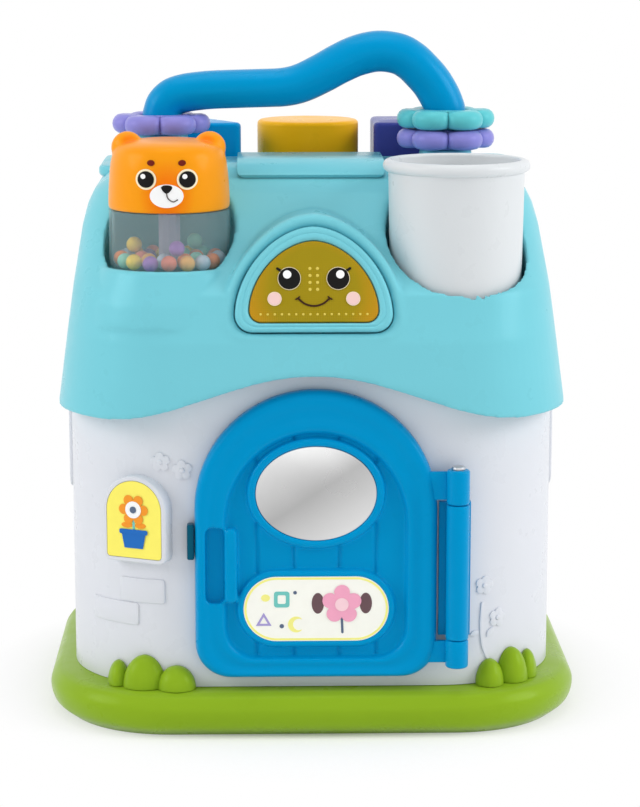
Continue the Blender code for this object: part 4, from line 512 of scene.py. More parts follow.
def plated_steel(name):
    """Pale plating with fine streaks in its polish."""
    finish = Finish(name)
    streaks = finish.noise(300.0, 5.0)
    finish.shade(
        Base_Color=mottled(finish, STEEL, 0.08, 90.0),
        Metallic=1.0,
        Roughness=finish.between(streaks, *STEEL_ROUGHNESS),
        Normal=finish.bump(streaks, plastics().grain / 2),
    )
    return finish.material


# Shapes


def put(name, shape, matrix=None):
    """Links a shape as an object, with its faces turned out and its curved faces smooth."""
    if matrix:
        shape.transform(matrix)
    bmesh.ops.recalc_face_normals(shape, faces=shape.faces)
    mesh = bpy.data.meshes.new(name)
    shape.to_mesh(mesh)
    shape.free()
    made = bpy.data.objects.new(name, mesh)
    bpy.context.scene.collection.objects.link(made)
    return smoothed(made)


def smoothed(piece, angle=SHARP):
    piece.data.shade_smooth()
    piece.data.set_sharp_from_angle(angle=angle)
    return piece


def settle(piece):
    """Applies a piece's modifiers to its mesh."""
    bpy.context.view_layer.update()
    graph = bpy.context.evaluated_depsgraph_get()
    mesh = bpy.data.meshes.new_from_object(piece.evaluated_get(graph))
    piece.modifiers.clear()
    piece.data = mesh
    return piece


def carve(piece, *others, operation="DIFFERENCE"):
    for number, other in enumerate(others):
        modifier = piece.modifiers.new(f"carve {number}", "BOOLEAN")
        modifier.operation = operation
        modifier.solver = "EXACT"
        modifier.object = other
    settle(piece)
    for other in others:
        bpy.data.objects.remove(other)
    return smoothed(piece)


def fuse(piece, *others):
    return carve(piece, *others, operation="UNION")


def eased(piece, width=None, segments=3):
    """Rounds a piece's sharp edges."""
    bevel = piece.modifiers.new("edge", "BEVEL")
    bevel.width = edges().edge if width is None else width
    bevel.segments = segments
    bevel.angle_limit = SHARP
    return smoothed(settle(piece), BEVELLED)


def softened(piece, cell, passes):
    """Meshes a piece again in even cells and smooths it, so that all its edges go round."""
    remesh = piece.modifiers.new("cells", "REMESH")
    remesh.mode = "VOXEL"
    remesh.voxel_size = cell
    remesh.use_smooth_shade = True
    smooth = piece.modifiers.new("soften", "SMOOTH")
    smooth.factor = 0.5
    smooth.iterations = passes
    settle(piece)
    piece.data.shade_smooth()
    return piece


def brick(name, low, high, matrix=None):
    low, high = Vector(low), Vector(high)
    shape = bmesh.new()
    bmesh.ops.create_cube(shape, size=1)
    bmesh.ops.scale(shape, vec=high - low, verts=shape.verts)
    bmesh.ops.translate(shape, vec=(low + high) / 2, verts=shape.verts)
    return put(name, shape, matrix)


def rod(name, at, radius, low, high, steps=64):
    shape = bmesh.new()
    bmesh.ops.create_cone(shape, cap_ends=True, segments=steps, radius1=radius, radius2=radius,
                          depth=high - low)
    bmesh.ops.translate(shape, vec=(at[0], at[1], (low + high) / 2), verts=shape.verts)
    return put(name, shape)


def ball(name, centre, radii, steps=32, matrix=None):
    shape = bmesh.new()
    bmesh.ops.create_uvsphere(shape, u_segments=steps, v_segments=steps // 2, radius=1)
    bmesh.ops.scale(shape, vec=radii, verts=shape.verts)
    bmesh.ops.translate(shape, vec=centre, verts=shape.verts)
    return put(name, shape, matrix)


def turned(name, profile, matrix=None, steps=64, closed=False):
    """Turns (radius, height) points round Z. A closed profile makes a ring."""
    shape = bmesh.new()
    rows = []
    for turn in (TURN * step / steps for step in range(steps)):
        rows.append([shape.verts.new((radius * math.cos(turn), radius * math.sin(turn), height))
                     for radius, height in profile])
    count = len(profile)
    spans = range(count) if closed else range(count - 1)
    for row, after in zip(rows, rows[1:] + rows[:1]):
        for index in spans:
            other = (index + 1) % count
            shape.faces.new((row[index], after[index], after[other], row[other]))
    bmesh.ops.remove_doubles(shape, verts=shape.verts, dist=WELD)
    return put(name, shape, matrix)


def skin(name, rings, matrix=None, closed=False):
    """A surface through rings of points, capped at both ends or closed back on its first ring."""
    shape = bmesh.new()
    rows = [[shape.verts.new(point) for point in ring] for ring in rings]
    for row, above in zip(rows, rows[1:] + (rows[:1] if closed else [])):
        for index in range(len(row)):
            after = (index + 1) % len(row)
            shape.faces.new((row[index], row[after], above[after], above[index]))
    if not closed:
        shape.faces.new(rows[0])
        shape.faces.new(rows[-1])
    return put(name, shape, matrix)


def plate(name, loops, low, high, place=None):
    """A flat outline, with holes if more loops follow, solid from low to high on its own Z."""
    curve = bpy.data.curves.new(name, "CURVE")
    curve.dimensions = "2D"
    curve.fill_mode = "BOTH"
    curve.extrude = (high - low) / 2
    for loop in map(no_doubles, loops):
        spline = curve.splines.new("POLY")
        spline.points.add(len(loop) - 1)
        for point, (across, up) in zip(spline.points, loop):
            point.co = (across, up, 0, 1)
        spline.use_cyclic_u = True
    drawn = bpy.data.objects.new(name, curve)
    bpy.context.scene.collection.objects.link(drawn)
    shape = shape_of(drawn)
    bmesh.ops.translate(shape, vec=(0, 0, (low + high) / 2), verts=shape.verts)
    if place:
        shape.transform(place)
    return put(name, shape)


def shape_of(drawn):
    bpy.context.view_layer.update()
    graph = bpy.context.evaluated_depsgraph_get()
    mesh = bpy.data.meshes.new_from_object(drawn.evaluated_get(graph))
    bpy.data.objects.remove(drawn)
    shape = bmesh.new()
    shape.from_mesh(mesh)
    bmesh.ops.remove_doubles(shape, verts=shape.verts, dist=WELD)
    bmesh.ops.dissolve_limit(shape, angle_limit=math.radians(1), verts=shape.verts,
                             edges=shape.edges, delimit={"NORMAL"})
    return shape


def no_doubles(points):
    return [point for point, before in zip(points, points[-1:] + points[:-1])
            if math.dist(point, before) > WELD]


def arc(centre, radii, start, end, steps):
    turns = [start + (end - start) * step / steps for step in range(steps + 1)]
    return [(centre[0] + radii[0] * math.cos(turn), centre[1] + radii[1] * math.sin(turn))
            for turn in turns]


def ellipse(centre, radii, steps=64):
    return arc(centre, radii, 0, TURN, steps)[:-1]


def rounded(left, right, low, high, radius, steps=None):
    steps = steps or edges().arc_steps
    radius = min(radius, (right - left) / 2, (high - low) / 2)
    corners = ((right - radius, high - radius), (left + radius, high - radius),
               (left + radius, low + radius), (right - radius, low + radius))
    return [point for turn, corner in enumerate(corners)
            for point in arc(corner, (radius, radius), turn * QUARTER, (turn + 1) * QUARTER, steps)]


def arched(centre, half, foot, spring, crown, foot_radius):
    """A doorway's outline: an arch over round bottom corners."""
    steps = edges().arc_steps
    foot_radius = min(foot_radius, half)
    corner = (foot_radius, foot_radius)
    left, right = centre - half + foot_radius, centre + half - foot_radius
    low = foot + foot_radius
    return (arc((centre, spring), (half, crown - spring), 0, 2 * QUARTER, 2 * steps)
            + arc((left, low), corner, 2 * QUARTER, 3 * QUARTER, steps // 2)
            + arc((right, low), corner, 3 * QUARTER, TURN, steps // 2))


def facing_front(front):
    """Stands a flat outline up, facing the front, with its own Z measured out of that plane."""
    return Matrix.Translation((0, -front, 0)) @ Matrix.Rotation(QUARTER, 4, "X")


def smooth_route(points, steps):
    """More points on the smooth curve through these."""
    knots = [Vector(point) for point in points]
    knots = [2 * knots[0] - knots[1]] + knots + [2 * knots[-1] - knots[-2]]
    route = []
    for before, start, end, after in zip(knots, knots[1:], knots[2:], knots[3:]):
        for step in range(steps):
            share = step / steps
            bend = (2 * before - 5 * start + 4 * end - after) * share**2
            twist = (3 * start - before - 3 * end + after) * share**3
            route.append((2 * start + (end - before) * share + bend + twist) / 2)
    return route + [knots[-2]]


def flat_route(points, steps):
    """More points on the smooth curve through these, in a plane."""
    return [(point.x, point.y) for point in smooth_route([(*point, 0) for point in points], steps)]


def tube(name, points, radius, swell, sides):
    """A round bar with filled ends through points, each with its own share of the radius."""
    curve = bpy.data.curves.new(name, "CURVE")
    curve.dimensions = "3D"
    curve.bevel_depth = radius
    curve.bevel_resolution = sides // 4
    curve.use_fill_caps = True
    spline = curve.splines.new("POLY")
    spline.points.add(len(points) - 1)
    for point, place, share in zip(spline.points, points, swell):
        point.co = (*place, 1)
        point.radius = share
    drawn = bpy.data.objects.new(name, curve)
    bpy.context.scene.collection.objects.link(drawn)
    return put(name, shape_of(drawn))


def finished(piece, material, body, slot, *nodes):
    """Gives a piece its finish and its body, and hides the solids that it stands for."""
    piece.data.materials.clear()
    piece.data.materials.append(material)
    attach(piece, body)
    if nodes:
        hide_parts(*nodes)
    return piece


# Outlines and places shared with the solids


def dome(half, foot, crown, corner):
    """The face button's outline: an arch with drawn-in shoulders over round bottom corners."""
    spring = foot + corner
    reach = crown - spring
    outline = []
    for across, up in arched(0, half, foot, spring, crown, corner):
        if up > spring:
            across = half * math.copysign(abs(across / half) ** SHOULDER_POWER, across)
            up = spring + reach * ((up - spring) / reach) ** SHOULDER_POWER
        outline.append((across, up))
    return outline


def ring_at(height, half, front, back, radius):
    return [(across, along, height) for across, along in rounded(-half, half, -front, back, radius)]


def ground_plan(halves, radius, out):
    across, along = halves[0] + out, halves[1] + out
    return rounded(-across, across, -along, along, radius + out)


def base_outline(inset):
    return ground_plan(BASE_HALF, BASE_RADIUS, -inset)


def wall_outline(out):
    return ground_plan(WALL_HALF, WALL_RADIUS, out)


def wall_front(across, out):
    """The place along Y of the walls' front, moved out by this much, at a distance across."""
    beyond = max(abs(across) - WALL_HALF[0] + WALL_RADIUS, 0)
    radius = WALL_RADIUS + out
    return WALL_RADIUS - WALL_HALF[1] - math.sqrt(max(radius**2 - beyond**2, 0))


def on_wall(along, height, out):
    """A point out from the walls, at a distance along them from the middle of the front."""
    flat, side = WALL_HALF[0] - WALL_RADIUS, math.copysign(1, along)
    turn = min(max(abs(along) - flat, 0) / WALL_RADIUS, QUARTER)
    past = max(abs(along) - flat - QUARTER * WALL_RADIUS, 0)
    reach = WALL_RADIUS + out
    across = side * (min(abs(along), flat) + reach * math.sin(turn))
    return Vector((across, WALL_RADIUS - WALL_HALF[1] - reach * math.cos(turn) + past, height))


def sliced(piece, axes, width, near):
    """A piece's shape cut in slices across these axes, so that it can bend. The piece goes."""
    shape = bmesh.new()
    shape.from_mesh(piece.data)
    bpy.data.objects.remove(piece)
    for axis in map(Vector, axes):
        reach = [vert.co.dot(axis) for vert in shape.verts]
        low, high = min(reach), max(reach)
        cuts = int((high - low) / width)
        for step in range(1, cuts + 1):
            geometry = shape.verts[:] + shape.edges[:] + shape.faces[:]
            at = low + (high - low) * step / (cuts + 1)
            bmesh.ops.bisect_plane(shape, geom=geometry, dist=near, plane_co=axis * at,
                                   plane_no=axis)
    return shape


def wrapped(name, loops, low, high):
    """A flat outline bent round the walls, its points given along the wall and in height."""
    shape = sliced(plate(name, loops, low, high), ((1, 0, 0),), SLICE, WELD)
    for vert in shape.verts:
        vert.co = on_wall(*vert.co)
    return put(name, shape)


# Base, bushes and walls


def build_base(name):
    profile = smooth_route([(0, inset, height) for height, inset in BASE_PROFILE], 6)
    rings = [[(*spot, point.z * BASE_HEIGHT) for spot in base_outline(point.y * BASE_HEIGHT)]
             for point in profile]
    tray = skin(name, rings)
    hollow = plate("base hollow", [base_outline(BASE_FOOT_INSET + BASE_SKIRT)], -BEYOND,
                   BASE_HEIGHT - BASE_FLOOR)
    return carve(tray, hollow)


def build_bush(name, lumps):
    """Round lumps of moulded leaves that lean on the wall."""
    pieces = []
    for number, (across, radius, rise) in enumerate(lumps):
        centre = (across, wall_front(across, BUSH_STAND_OFF), WALL_FOOT)
        pieces.append(ball(f"{name} lump {number}", centre, (radius, BUSH_DEPTH, rise), 40))
    bush = fuse(pieces[0], *pieces[1:])
    bush.name = name
    ground = brick("ground", (-BASE_HALF[0], -BASE_HALF[1], -BEYOND), (BASE_HALF[0], 0, WALL_FOOT))
    return carve(bush, ground, plate("wall room", [wall_outline(GAP)], 0, WALL_TOP))


def wall_rings(inset, low, high):
    half, depth = WALL_HALF[0] - inset, WALL_HALF[1] - inset
    widths = ((low, half), (WALL_SHOULDER, half), (high, half - WALL_TOP_INSET))
    return [ring_at(height, width, depth, depth, WALL_RADIUS - inset) for height, width in widths]


def plaque_place():
    corner = Matrix.Translation((WALL_RADIUS - WALL_HALF[0], WALL_RADIUS - WALL_HALF[1], 0))
    return corner @ Matrix.Rotation(-PLAQUE_TURN, 4, "Z") @ facing_front(WALL_RADIUS)


def plaque_outline(inset):
    return arched(0, PLAQUE_HALF - inset, PLAQUE_LOW + inset, PLAQUE_HIGH - PLAQUE_HALF,
                  PLAQUE_HIGH - inset, max(PLAQUE_CORNER - inset, GAP))


def build_walls():
    """The front and rear halves of the walls, with their side panels, bosses and tabs."""
    halves = []
    panel_half, panel_low, panel_high, panel_corner, panel_rise = SIDE_PANEL
    panel = rounded(-panel_half, panel_half, panel_low, panel_high, panel_corner)
    for name, side in (("front_wall_shell", -1), ("rear_wall_shell", 1)):
        wall = skin(name, wall_rings(0, WALL_FOOT, WALL_TOP))
        panels = []
        for turn in (-1, 1):
            place = Matrix.Rotation(turn * QUARTER, 4, "Z") @ facing_front(0)
            raised = plate(f"side panel {turn}", [panel], WALL_HALF[0] - WALL_THICKNESS / 2,
                           WALL_HALF[0] + panel_rise, place)
            panels.append(eased(raised, panel_rise / 2))
        fuse(wall, *panels)
        near, far = sorted((-side * (WALL_HALF[1] + BEYOND), side * GAP / 2))
        half = brick("other half", (-BASE_HALF[0], near, 0), (BASE_HALF[0], far, WALL_TOP + BEYOND))
        hollow = skin("hollow", wall_rings(WALL_THICKNESS, WALL_FOOT - BEYOND, WALL_TOP + BEYOND))
        carve(wall, hollow, half)
        add_bosses(wall, side)
        halves.append(wall)
    front, rear = halves
    doorway = arched(DOOR_CENTRE, DOORWAY_HALF, DOORWAY_SILL, DOOR_SPRING,
                     DOOR_SPRING + DOORWAY_HALF, DOORWAY_CORNER)
    carve(front, plate("doorway", [doorway], -WALL_THICKNESS - BEYOND, BEYOND,
                       facing_front(WALL_HALF[1])))
    place = plaque_place()
    plaque = eased(plate("plaque", [plaque_outline(0)], -WALL_THICKNESS * PLAQUE_ROOT, PLAQUE_PROUD,
                         place), PLAQUE_EDGE, 4)
    recess = plate("recess", [plaque_outline(WINDOW_MARGIN)], PLAQUE_PROUD - WINDOW_DEPTH,
                   PLAQUE_PROUD + BEYOND, place)
    carve(fuse(front, plaque), recess)
    reach = Vector((BATTERY_OPENING[0], WALL_THICKNESS + BEYOND, BATTERY_OPENING[1]))
    middle = Vector((0, WALL_HALF[1], BATTERY_HEIGHT))
    carve(rear, brick("battery opening", middle - reach, middle + reach))
    return front, rear


def add_bosses(wall, side):
    """Screw bosses at the foot of a wall and tabs at its top."""
    for across in (-1, 1):
        at = (across * BOSS_ACROSS, side * BOSS_ALONG)
        fuse(wall, rod("boss", at, BOSS_RADIUS, WALL_FOOT, WALL_FOOT + BOSS_HEIGHT, steps=24))
        carve(wall, rod("boss hole", at, SCREW_HOLE, WALL_FOOT - BEYOND, WALL_FOOT + BOSS_HOLE,
                        steps=24))
        tab = FRONT_TAB if side < 0 else REAR_TAB
        at = (across * tab[0], tab[1])
        middle, reach = Vector((*at, WALL_TOP)), Vector((TAB[0], TAB[0], 0))
        low, high = middle - reach, middle + reach
        low.z -= TAB[1]
        inner = WALL_THICKNESS / 2
        if side > 0:
            high.y = WALL_HALF[1] - inner
        elif across > 0:
            high.x = WALL_HALF[0] - WALL_TOP_INSET - inner
        else:
            low.x = inner + WALL_TOP_INSET - WALL_HALF[0]
        fuse(wall, brick("tab", low, high))
        carve(wall, rod("tab hole", at, SCREW_HOLE, low.z - BEYOND, WALL_TOP + BEYOND, steps=24))


def petals(centre, radius, wave, count, turn):
    """A flower's outline: round petals that meet in narrow notches."""
    outline = []
    for around in (TURN * step / PETAL_STEPS for step in range(PETAL_STEPS)):
        reach = radius - wave + 2 * wave * abs(math.cos(count * (around - turn) / 2)) ** PETAL_POWER
        outline.append((centre[0] + reach * math.cos(around), centre[1] + reach * math.sin(around)))
    return outline


def pointed_leaf(along, height, long_half, short_half, tilt):
    outline = []
    for turn in (TURN * step / 48 for step in range(48)):
        out, aside = long_half * math.cos(turn), short_half * math.sin(turn) * abs(math.sin(turn))
        outline.append((along + out * math.cos(tilt) - aside * math.sin(tilt),
                        height + out * math.sin(tilt) + aside * math.cos(tilt)))
    return outline


def flower_reliefs(kind, places, looks):
    """Flowers of five petals, each with a round middle that stands a little higher."""
    wave, turn, eye = looks
    for number, (along, height, radius) in enumerate(places, 1):
        spot = (along, height)
        yield f"{kind}_{number}", petals(spot, radius, radius * wave, 5, turn), RELIEF
        yield f"{kind}_eye_{number}", ellipse(spot, (radius * eye,) * 2, 24), RELIEF * RELIEF_EYE


def wall_reliefs():
    """Low moulded flowers, bricks and a leafy stem on the front corners of the walls."""
    reliefs = list(flower_reliefs("wall_flower", SMALL_FLOWERS, SMALL_KIND))
    reliefs += [(f"wall_brick_{number}", rounded(*sides, BRICK_RADIUS, 6), RELIEF)
                for number, sides in enumerate(BRICKS, 1)]
    reliefs += flower_reliefs("wall_tall_flower", TALL_FLOWERS, TALL_KIND)
    reliefs.append(("wall_stem", ribbon(STEM, STEM_HALF), RELIEF))
    reliefs += [(f"wall_leaf_{number}", pointed_leaf(*leaf), RELIEF)
                for number, leaf in enumerate(LEAVES, 1)]
    return [eased(wrapped(name, [loop], -WALL_THICKNESS / 3, rise), rise * RELIEF_EDGE, 2)
            for name, loop, rise in reliefs]


def ribbon(points, half):
    """The outline of a band along points, with round ends."""
    route = [Vector(point).to_2d() for point in smooth_route([(*point, 0) for point in points], 8)]
    left, right = [], []
    for index, point in enumerate(route):
        ahead = route[min(index + 1, len(route) - 1)] - route[max(index - 1, 0)]
        side = Vector((-ahead.y, ahead.x)).normalized() * half
        left.append(point + side)
        right.append(point - side)
    caps = []
    for end, before in ((route[-1], route[-2]), (route[0], route[1])):
        away = end - before
        start = math.atan2(away.y, away.x) + QUARTER
        caps.append(arc(end, (half, half), start, start - math.pi, 8)[1:-1])
    return [*map(tuple, left), *caps[0], *map(tuple, reversed(right)), *caps[1]]


# Roof, lid and blocks


def face_place():
    """The face button's frame: X across, Y up the tilted face, Z out of it."""
    middle = Matrix.Translation((0, -FACE_FRONT, FACE_FOOT))
    return middle @ Matrix.Rotation(QUARTER - FACE_TILT, 4, "X")


def face_outline(room, sizes=BEZEL_OUTLINE):
    """The outline of the face's rim, or of its lens, grown by this much."""
    half, foot, crown, corner = sizes
    return dome(half + room, foot - room, crown + room, corner + room)


def chamber_outline(room):
    """The outline of the room behind the face, grown by this much."""
    return arched(0, BEZEL_HALF + room, -room, BEZEL_CORNER, BEZEL_HEIGHT + room,
                  BEZEL_CORNER + room)


def hump_rings():
    half, foot, crown, corner = BEZEL_OUTLINE
    return [[(across, up, -depth) for across, up in
             dome(half + HUMP_ROOM + spread, foot - HUMP_ROOM - drop, crown + HUMP_ROOM + rise,
                  corner + HUMP_ROOM)] for depth, spread, drop, rise in HUMP_RINGS]


def bin_outline(room):
    half, front, back, radius = BIN[:4]
    return rounded(-half - room, half + room, front - room, back + room, radius + room)


def roof_cavity(place):
    """The room inside the roof, less the wells' walls, the deck, the bosses and the chamber."""
    top = CREST + BEYOND
    fit = [part + ROOF_FIT for part in (*WALL_HALF, WALL_HALF[1], WALL_RADIUS)]
    rings = [ring_at(height, *fit) for height in (ROOF_RINGS[0][0] - BEYOND, ROOF_RINGS[1][0])]
    wall = ROOF_THICKNESS
    for height, *sizes in ROOF_RINGS[2:-2] + ROOF_RINGS[-1:]:
        height -= wall if height == CREST else 0
        rings.append(ring_at(height, *[size - wall for size in sizes]))
    widest, rearmost = ROOF_RINGS[0][1], ROOF_RINGS[0][3]
    keeps = [
        rod("pocket keep", RATTLE[:2], POCKET_RADIUS + wall + POCKET_LIP[2], POCKET_FLOOR - wall,
            top),
        rod("socket keep", CUP[:2], SOCKET_RADIUS + wall, SOCKET_FLOOR - wall, top),
        plate("bin keep", [bin_outline(wall)], BIN[4] - wall, top),
        brick("deck keep", (-widest, CREST_BACK - wall, DECK - wall), (widest, rearmost, top)),
        plate("chamber keep", [chamber_outline(CHAMBER[0] + CHAMBER[2])],
              -CHAMBER[1] - 2 * CHAMBER[2], 0, place),
    ]
    for across, along in ROOF_BOSSES:
        keeps.append(rod("boss keep", (across, along), BOSS_RADIUS, WALL_TOP + GAP, top, steps=24))
    return carve(skin("cavity", rings), *keeps)


def build_roof(name):
    """The aqua roof in one moulding: hem, face hump, rattle pocket, cup socket, deck and bin."""
    place = face_place()
    top = CREST + BEYOND
    lowest, widest, front, rearmost = ROOF_RINGS[0][:4]
    roof = skin(name, [ring_at(*ring) for ring in ROOF_RINGS])
    lip_top, wide = POCKET_LIP[:2]
    profile = [(wide + flare, lip_top - deep) for flare, deep in LIP_STEPS]
    lip = turned("lip", [(0, lip_top)] + profile + [(0, profile[-1][1])],
                 Matrix.Translation((*RATTLE[:2], 0)))
    seats = [rod("seat", (across, 0), COLLAR[0], CREST - ROOF_THICKNESS / 2, HANDLE_LEVEL)
             for across in (LEG_LEFT, LEG_RIGHT)]
    fuse(roof, skin("hump", hump_rings(), place), lip, *seats)
    shares = [1 - 2 * step / HEM_STEPS for step in range(HEM_STEPS + 1)]
    wave = [(HEM_HALF * share, lowest + HEM_RISE * (1 + math.cos(math.pi * share)) / 2)
            for share in shares]
    wave += [(-HEM_HALF, lowest - BEYOND), (HEM_HALF, lowest - BEYOND)]
    carve(
        roof,
        roof_cavity(place),
        brick("step", (-widest, CREST_BACK, DECK), (widest, rearmost, top)),
        plate("bin", [bin_outline(0)], BIN[4], top),
        rod("pocket", RATTLE[:2], POCKET_RADIUS, POCKET_FLOOR, top, steps=96),
        rod("socket", CUP[:2], SOCKET_RADIUS, SOCKET_FLOOR, top, steps=96),
        rod("rim room", CUP[:2], CUP_RIM + SOCKET_ROOM, CUP_TOP - CUP_LIP - SOCKET_ROOM, top,
            steps=96),
        plate("hem", [wave], -front + WALL_HALF[1] - WALL_RADIUS, BEYOND, facing_front(front)),
        plate("face hole", [face_outline(BUTTON_ROOM)], -HUMP_WALL - BEYOND, 3 * BEYOND, place),
        plate("chamber", [chamber_outline(CHAMBER[0])], -CHAMBER[1] - CHAMBER[2] / 4, -HUMP_WALL,
              place),
        plate("board room", [board_outline(GAP)], -CHAMBER[1] - BOARD_ROOM, -CHAMBER[1], place),
    )
    softened(roof, edges().voxel, edges().soften)
    return roof


def board_outline(room):
    lap = CHAMBER[0] + BOARD_LAP + room
    corner = BOARD_CORNER + room
    return arched(0, BOARD_HALF + room, -lap, corner - lap, BEZEL_HEIGHT + lap, corner)


def block_outlines(room):
    """The outlines of the triangle, the round block and the square, grown by this much."""
    root = math.sqrt(3)
    side = TRIANGLE[1] + 2 * root * room
    front = BLOCK_FRONT - room
    corner = BLOCK_CORNER + room
    reach = side / 2 - corner * root
    spots = ((reach, corner, -QUARTER), (0, side * root / 2 - 2 * corner, QUARTER / 3),
             (-reach, corner, 5 * QUARTER / 3))
    triangle = [point for across, along, start in spots
                for point in arc((TRIANGLE[0] + across, front + along), (corner, corner), start,
                                 start + TURN / 3, 10)]
    radius = ROUND_BLOCK + room
    disc = ellipse((0, BLOCK_FRONT + ROUND_BLOCK), (radius, radius), 96)
    square = rounded(SQUARE[0] - SQUARE[1] / 2 - room, SQUARE[0] + SQUARE[1] / 2 + room, front,
                     BLOCK_FRONT + SQUARE[1] + room, corner, 10)
    return triangle, disc, square


def build_lid(name):
    """The sorter lid, with its three holes and the tongue that laps over the roof's crest."""
    seat = DECK + GAP
    flat = eased(plate(name, [rounded(-LID_HALF, LID_HALF, CREST_BACK + GAP, LID_BACK, LID_RADIUS)],
                       seat, LID_TOP), LID_ROUND, 4)
    slope = flat_route([(-ring[2] - GAP, ring[0] + GAP) for ring in reversed(ROOF_RINGS[-3:])], 6)
    low, thick = DECK + (LID_TOP - seat) / 2, TONGUE_THICKNESS
    back = CREST_BACK + GAP
    under = [(back, low), (back, CREST + GAP)] + slope
    over = [(along - thick * TONGUE_LEAN, height + thick) for along, height in reversed(slope)]
    over += [(back + thick, CREST + GAP + thick), (back + thick, low)]
    sideways = Matrix(((0, 0, 1, 0), (1, 0, 0, 0), (0, 1, 0, 0), (0, 0, 0, 1)))
    tongue = plate("tongue", [under + over], -TONGUE_HALF, TONGUE_HALF, sideways)
    foot = slope[-1][1]
    for side in (-1, 1):
        across = side * (TONGUE_HALF - TONGUE_CORNER)
        outside = across + side * (TONGUE_CORNER + BEYOND)
        around = arc((across, foot + TONGUE_CORNER), (TONGUE_CORNER,) * 2, -QUARTER,
                     (side - 1) * QUARTER, 8)
        edge = [(outside, foot + TONGUE_CORNER), (outside, foot - BEYOND), (across, foot - BEYOND)]
        carve(tongue, plate("corner", [around + edge], 0, FAR, facing_front(0)))
    fuse(flat, tongue)
    holes = block_outlines(HOLE_ROOM)
    carve(flat, *[plate(f"hole {number}", [hole], seat - BEYOND, LID_TOP + BEYOND)
                  for number, hole in enumerate(holes)])
    return eased(flat, LID_EDGE, 3)


def build_block(name, outline, hollow):
    """A hollow block, open below, with soft edges."""
    floor = BIN[4] + GAP
    top = floor + BLOCK_HEIGHT
    block = eased(plate(name, [outline], floor, top), BLOCK_EDGE, 4)
    return carve(block, plate("hollow", [hollow], floor - BEYOND, top - BLOCK_WALL))


# Rattle and cup


def build_drum(name):
    """The clear drum: thin walls, a rounded foot and a flat floor."""
    floor = POCKET_FLOOR + GAP
    radius, inner = RATTLE[2], RATTLE[2] - DRUM_WALL
    bend = (radius - DRUM_FOOT, floor + DRUM_FOOT)
    foot = arc(bend, (DRUM_FOOT,) * 2, -QUARTER, 0, 8)
    hollow = arc(bend, (DRUM_FOOT - DRUM_WALL,) * 2, -QUARTER, 0, 8)
    profile = [(0, floor)] + foot + [(radius, DRUM_RIM), (inner, DRUM_RIM)] + hollow[::-1]
    profile += [(0, floor + DRUM_WALL)]
    return turned(name, profile, Matrix.Translation((*RATTLE[:2], 0)), 96)


def build_head(name):
    """The bear's head: a low dome with two round ears, softened in one."""
    here = Matrix.Translation((*RATTLE[:2], 0))
    low = DRUM_RIM + GAP
    outer = [(share * RATTLE[2], low + rise * (HEAD_TOP - low)) for rise, share in HEAD_PROFILE]
    outer = [(max(out, 0), up) for out, up in flat_route(outer, 5)]
    head = turned(name, outer + [(0, low)], here, 96)
    ears = [ball(f"ear {side}", (RATTLE[0] + side * EAR[0], RATTLE[1], EAR[1]),
                 (EAR[2], EAR[3], EAR[2])) for side in (-1, 1)]
    share = (RATTLE[2] - HEAD_WALL) / RATTLE[2]
    lid = (HEAD_TOP - HEAD_WALL - low) / (HEAD_TOP - low)
    room = [(out * share, low + (up - low) * lid) for out, up in outer]
    room += [(room[-1][0], low - BEYOND), (0, low - BEYOND)]
    hollow = turned("head hollow", room, here, 96)
    carve(fuse(head, *ears), hollow)
    return softened(head, edges().fine_voxel, edges().fine_soften)


def bead_places():
    """Loose beads in three uneven rings on the drum's floor, each with the number of its tint."""
    draw = random.Random(BEAD_SEED)
    floor = POCKET_FLOOR + GAP + DRUM_WALL
    turn_stray, reach_stray, height_stray = BEAD_STRAY
    for layer, (count, ring, height) in enumerate(BEAD_LAYERS):
        for number in range(count):
            stray = draw.uniform(-turn_stray, turn_stray)
            turn = TURN * (number + stray) / count + layer * BEAD_TURN
            reach = ring - draw.uniform(0, reach_stray)
            up = floor + height + draw.uniform(0, height_stray)
            yield ((RATTLE[0] + reach * math.cos(turn), RATTLE[1] + reach * math.sin(turn), up),
                   (number + layer) % len(BEAD_TINTS))


def build_cup(name):
    """The cup: a rolled rim, walls that draw in to the foot, and soft corners at its floor."""
    here = Matrix.Translation((*CUP[:2], 0))
    floor = SOCKET_FLOOR + GAP
    bead, soft = CUP_LIP / 2, CUP_SOFT
    across, up = CUP[2] - CUP_DRAFT - soft, floor + soft
    rim = arc((CUP_RIM - bead, CUP_TOP - bead), (bead, bead), QUARTER, -QUARTER * 2 / 3, 16)
    inside = arc((across - CUP_WALL, up + CUP_WALL), (soft, soft), -QUARTER, 0, 6)
    outside = arc((across, up), (soft, soft), 0, -QUARTER, 6)
    roll = arc((CUP[2] - CUP_WALL + bead / 2, CUP_TOP - bead / 2), (-bead / 2, bead / 2), 0,
               QUARTER, 6)[:-1]
    profile = [(0, floor + CUP_WALL), *inside, *roll, *rim, (CUP[2], CUP_TOP - CUP_LIP), *outside,
               (0, floor)]
    return turned(name, profile, here, 128)


# Face button and prints


def laid_on(name, loops, target, place, lift):
    """A thin print that follows a curved surface, drawn flat in a frame and dropped along its Z."""
    shape = sliced(plate(name, loops, 0, INK_THICKNESS), ((1, 0, 0), (0, 1, 0)), FINE_SLICE,
                   WELD / 10)
    tree = BVHTree.FromObject(target, bpy.context.evaluated_depsgraph_get())
    down = -(place.to_3x3() @ Vector((0, 0, 1)))
    for vert in shape.verts:
        above = place @ Vector((vert.co.x, vert.co.y, FAR))
        spot, normal, _, _ = tree.ray_cast(above, down)
        if spot is None:
            raise RuntimeError(f"{name} misses the surface that it is printed on")
        vert.co = spot + normal * (lift + vert.co.z)
    return put(name, shape)


def printed(name, loops, height, place, thickness):
    """A thin flat print at a height over its frame's own plane."""
    return plate(name, loops, height, height + thickness, place)


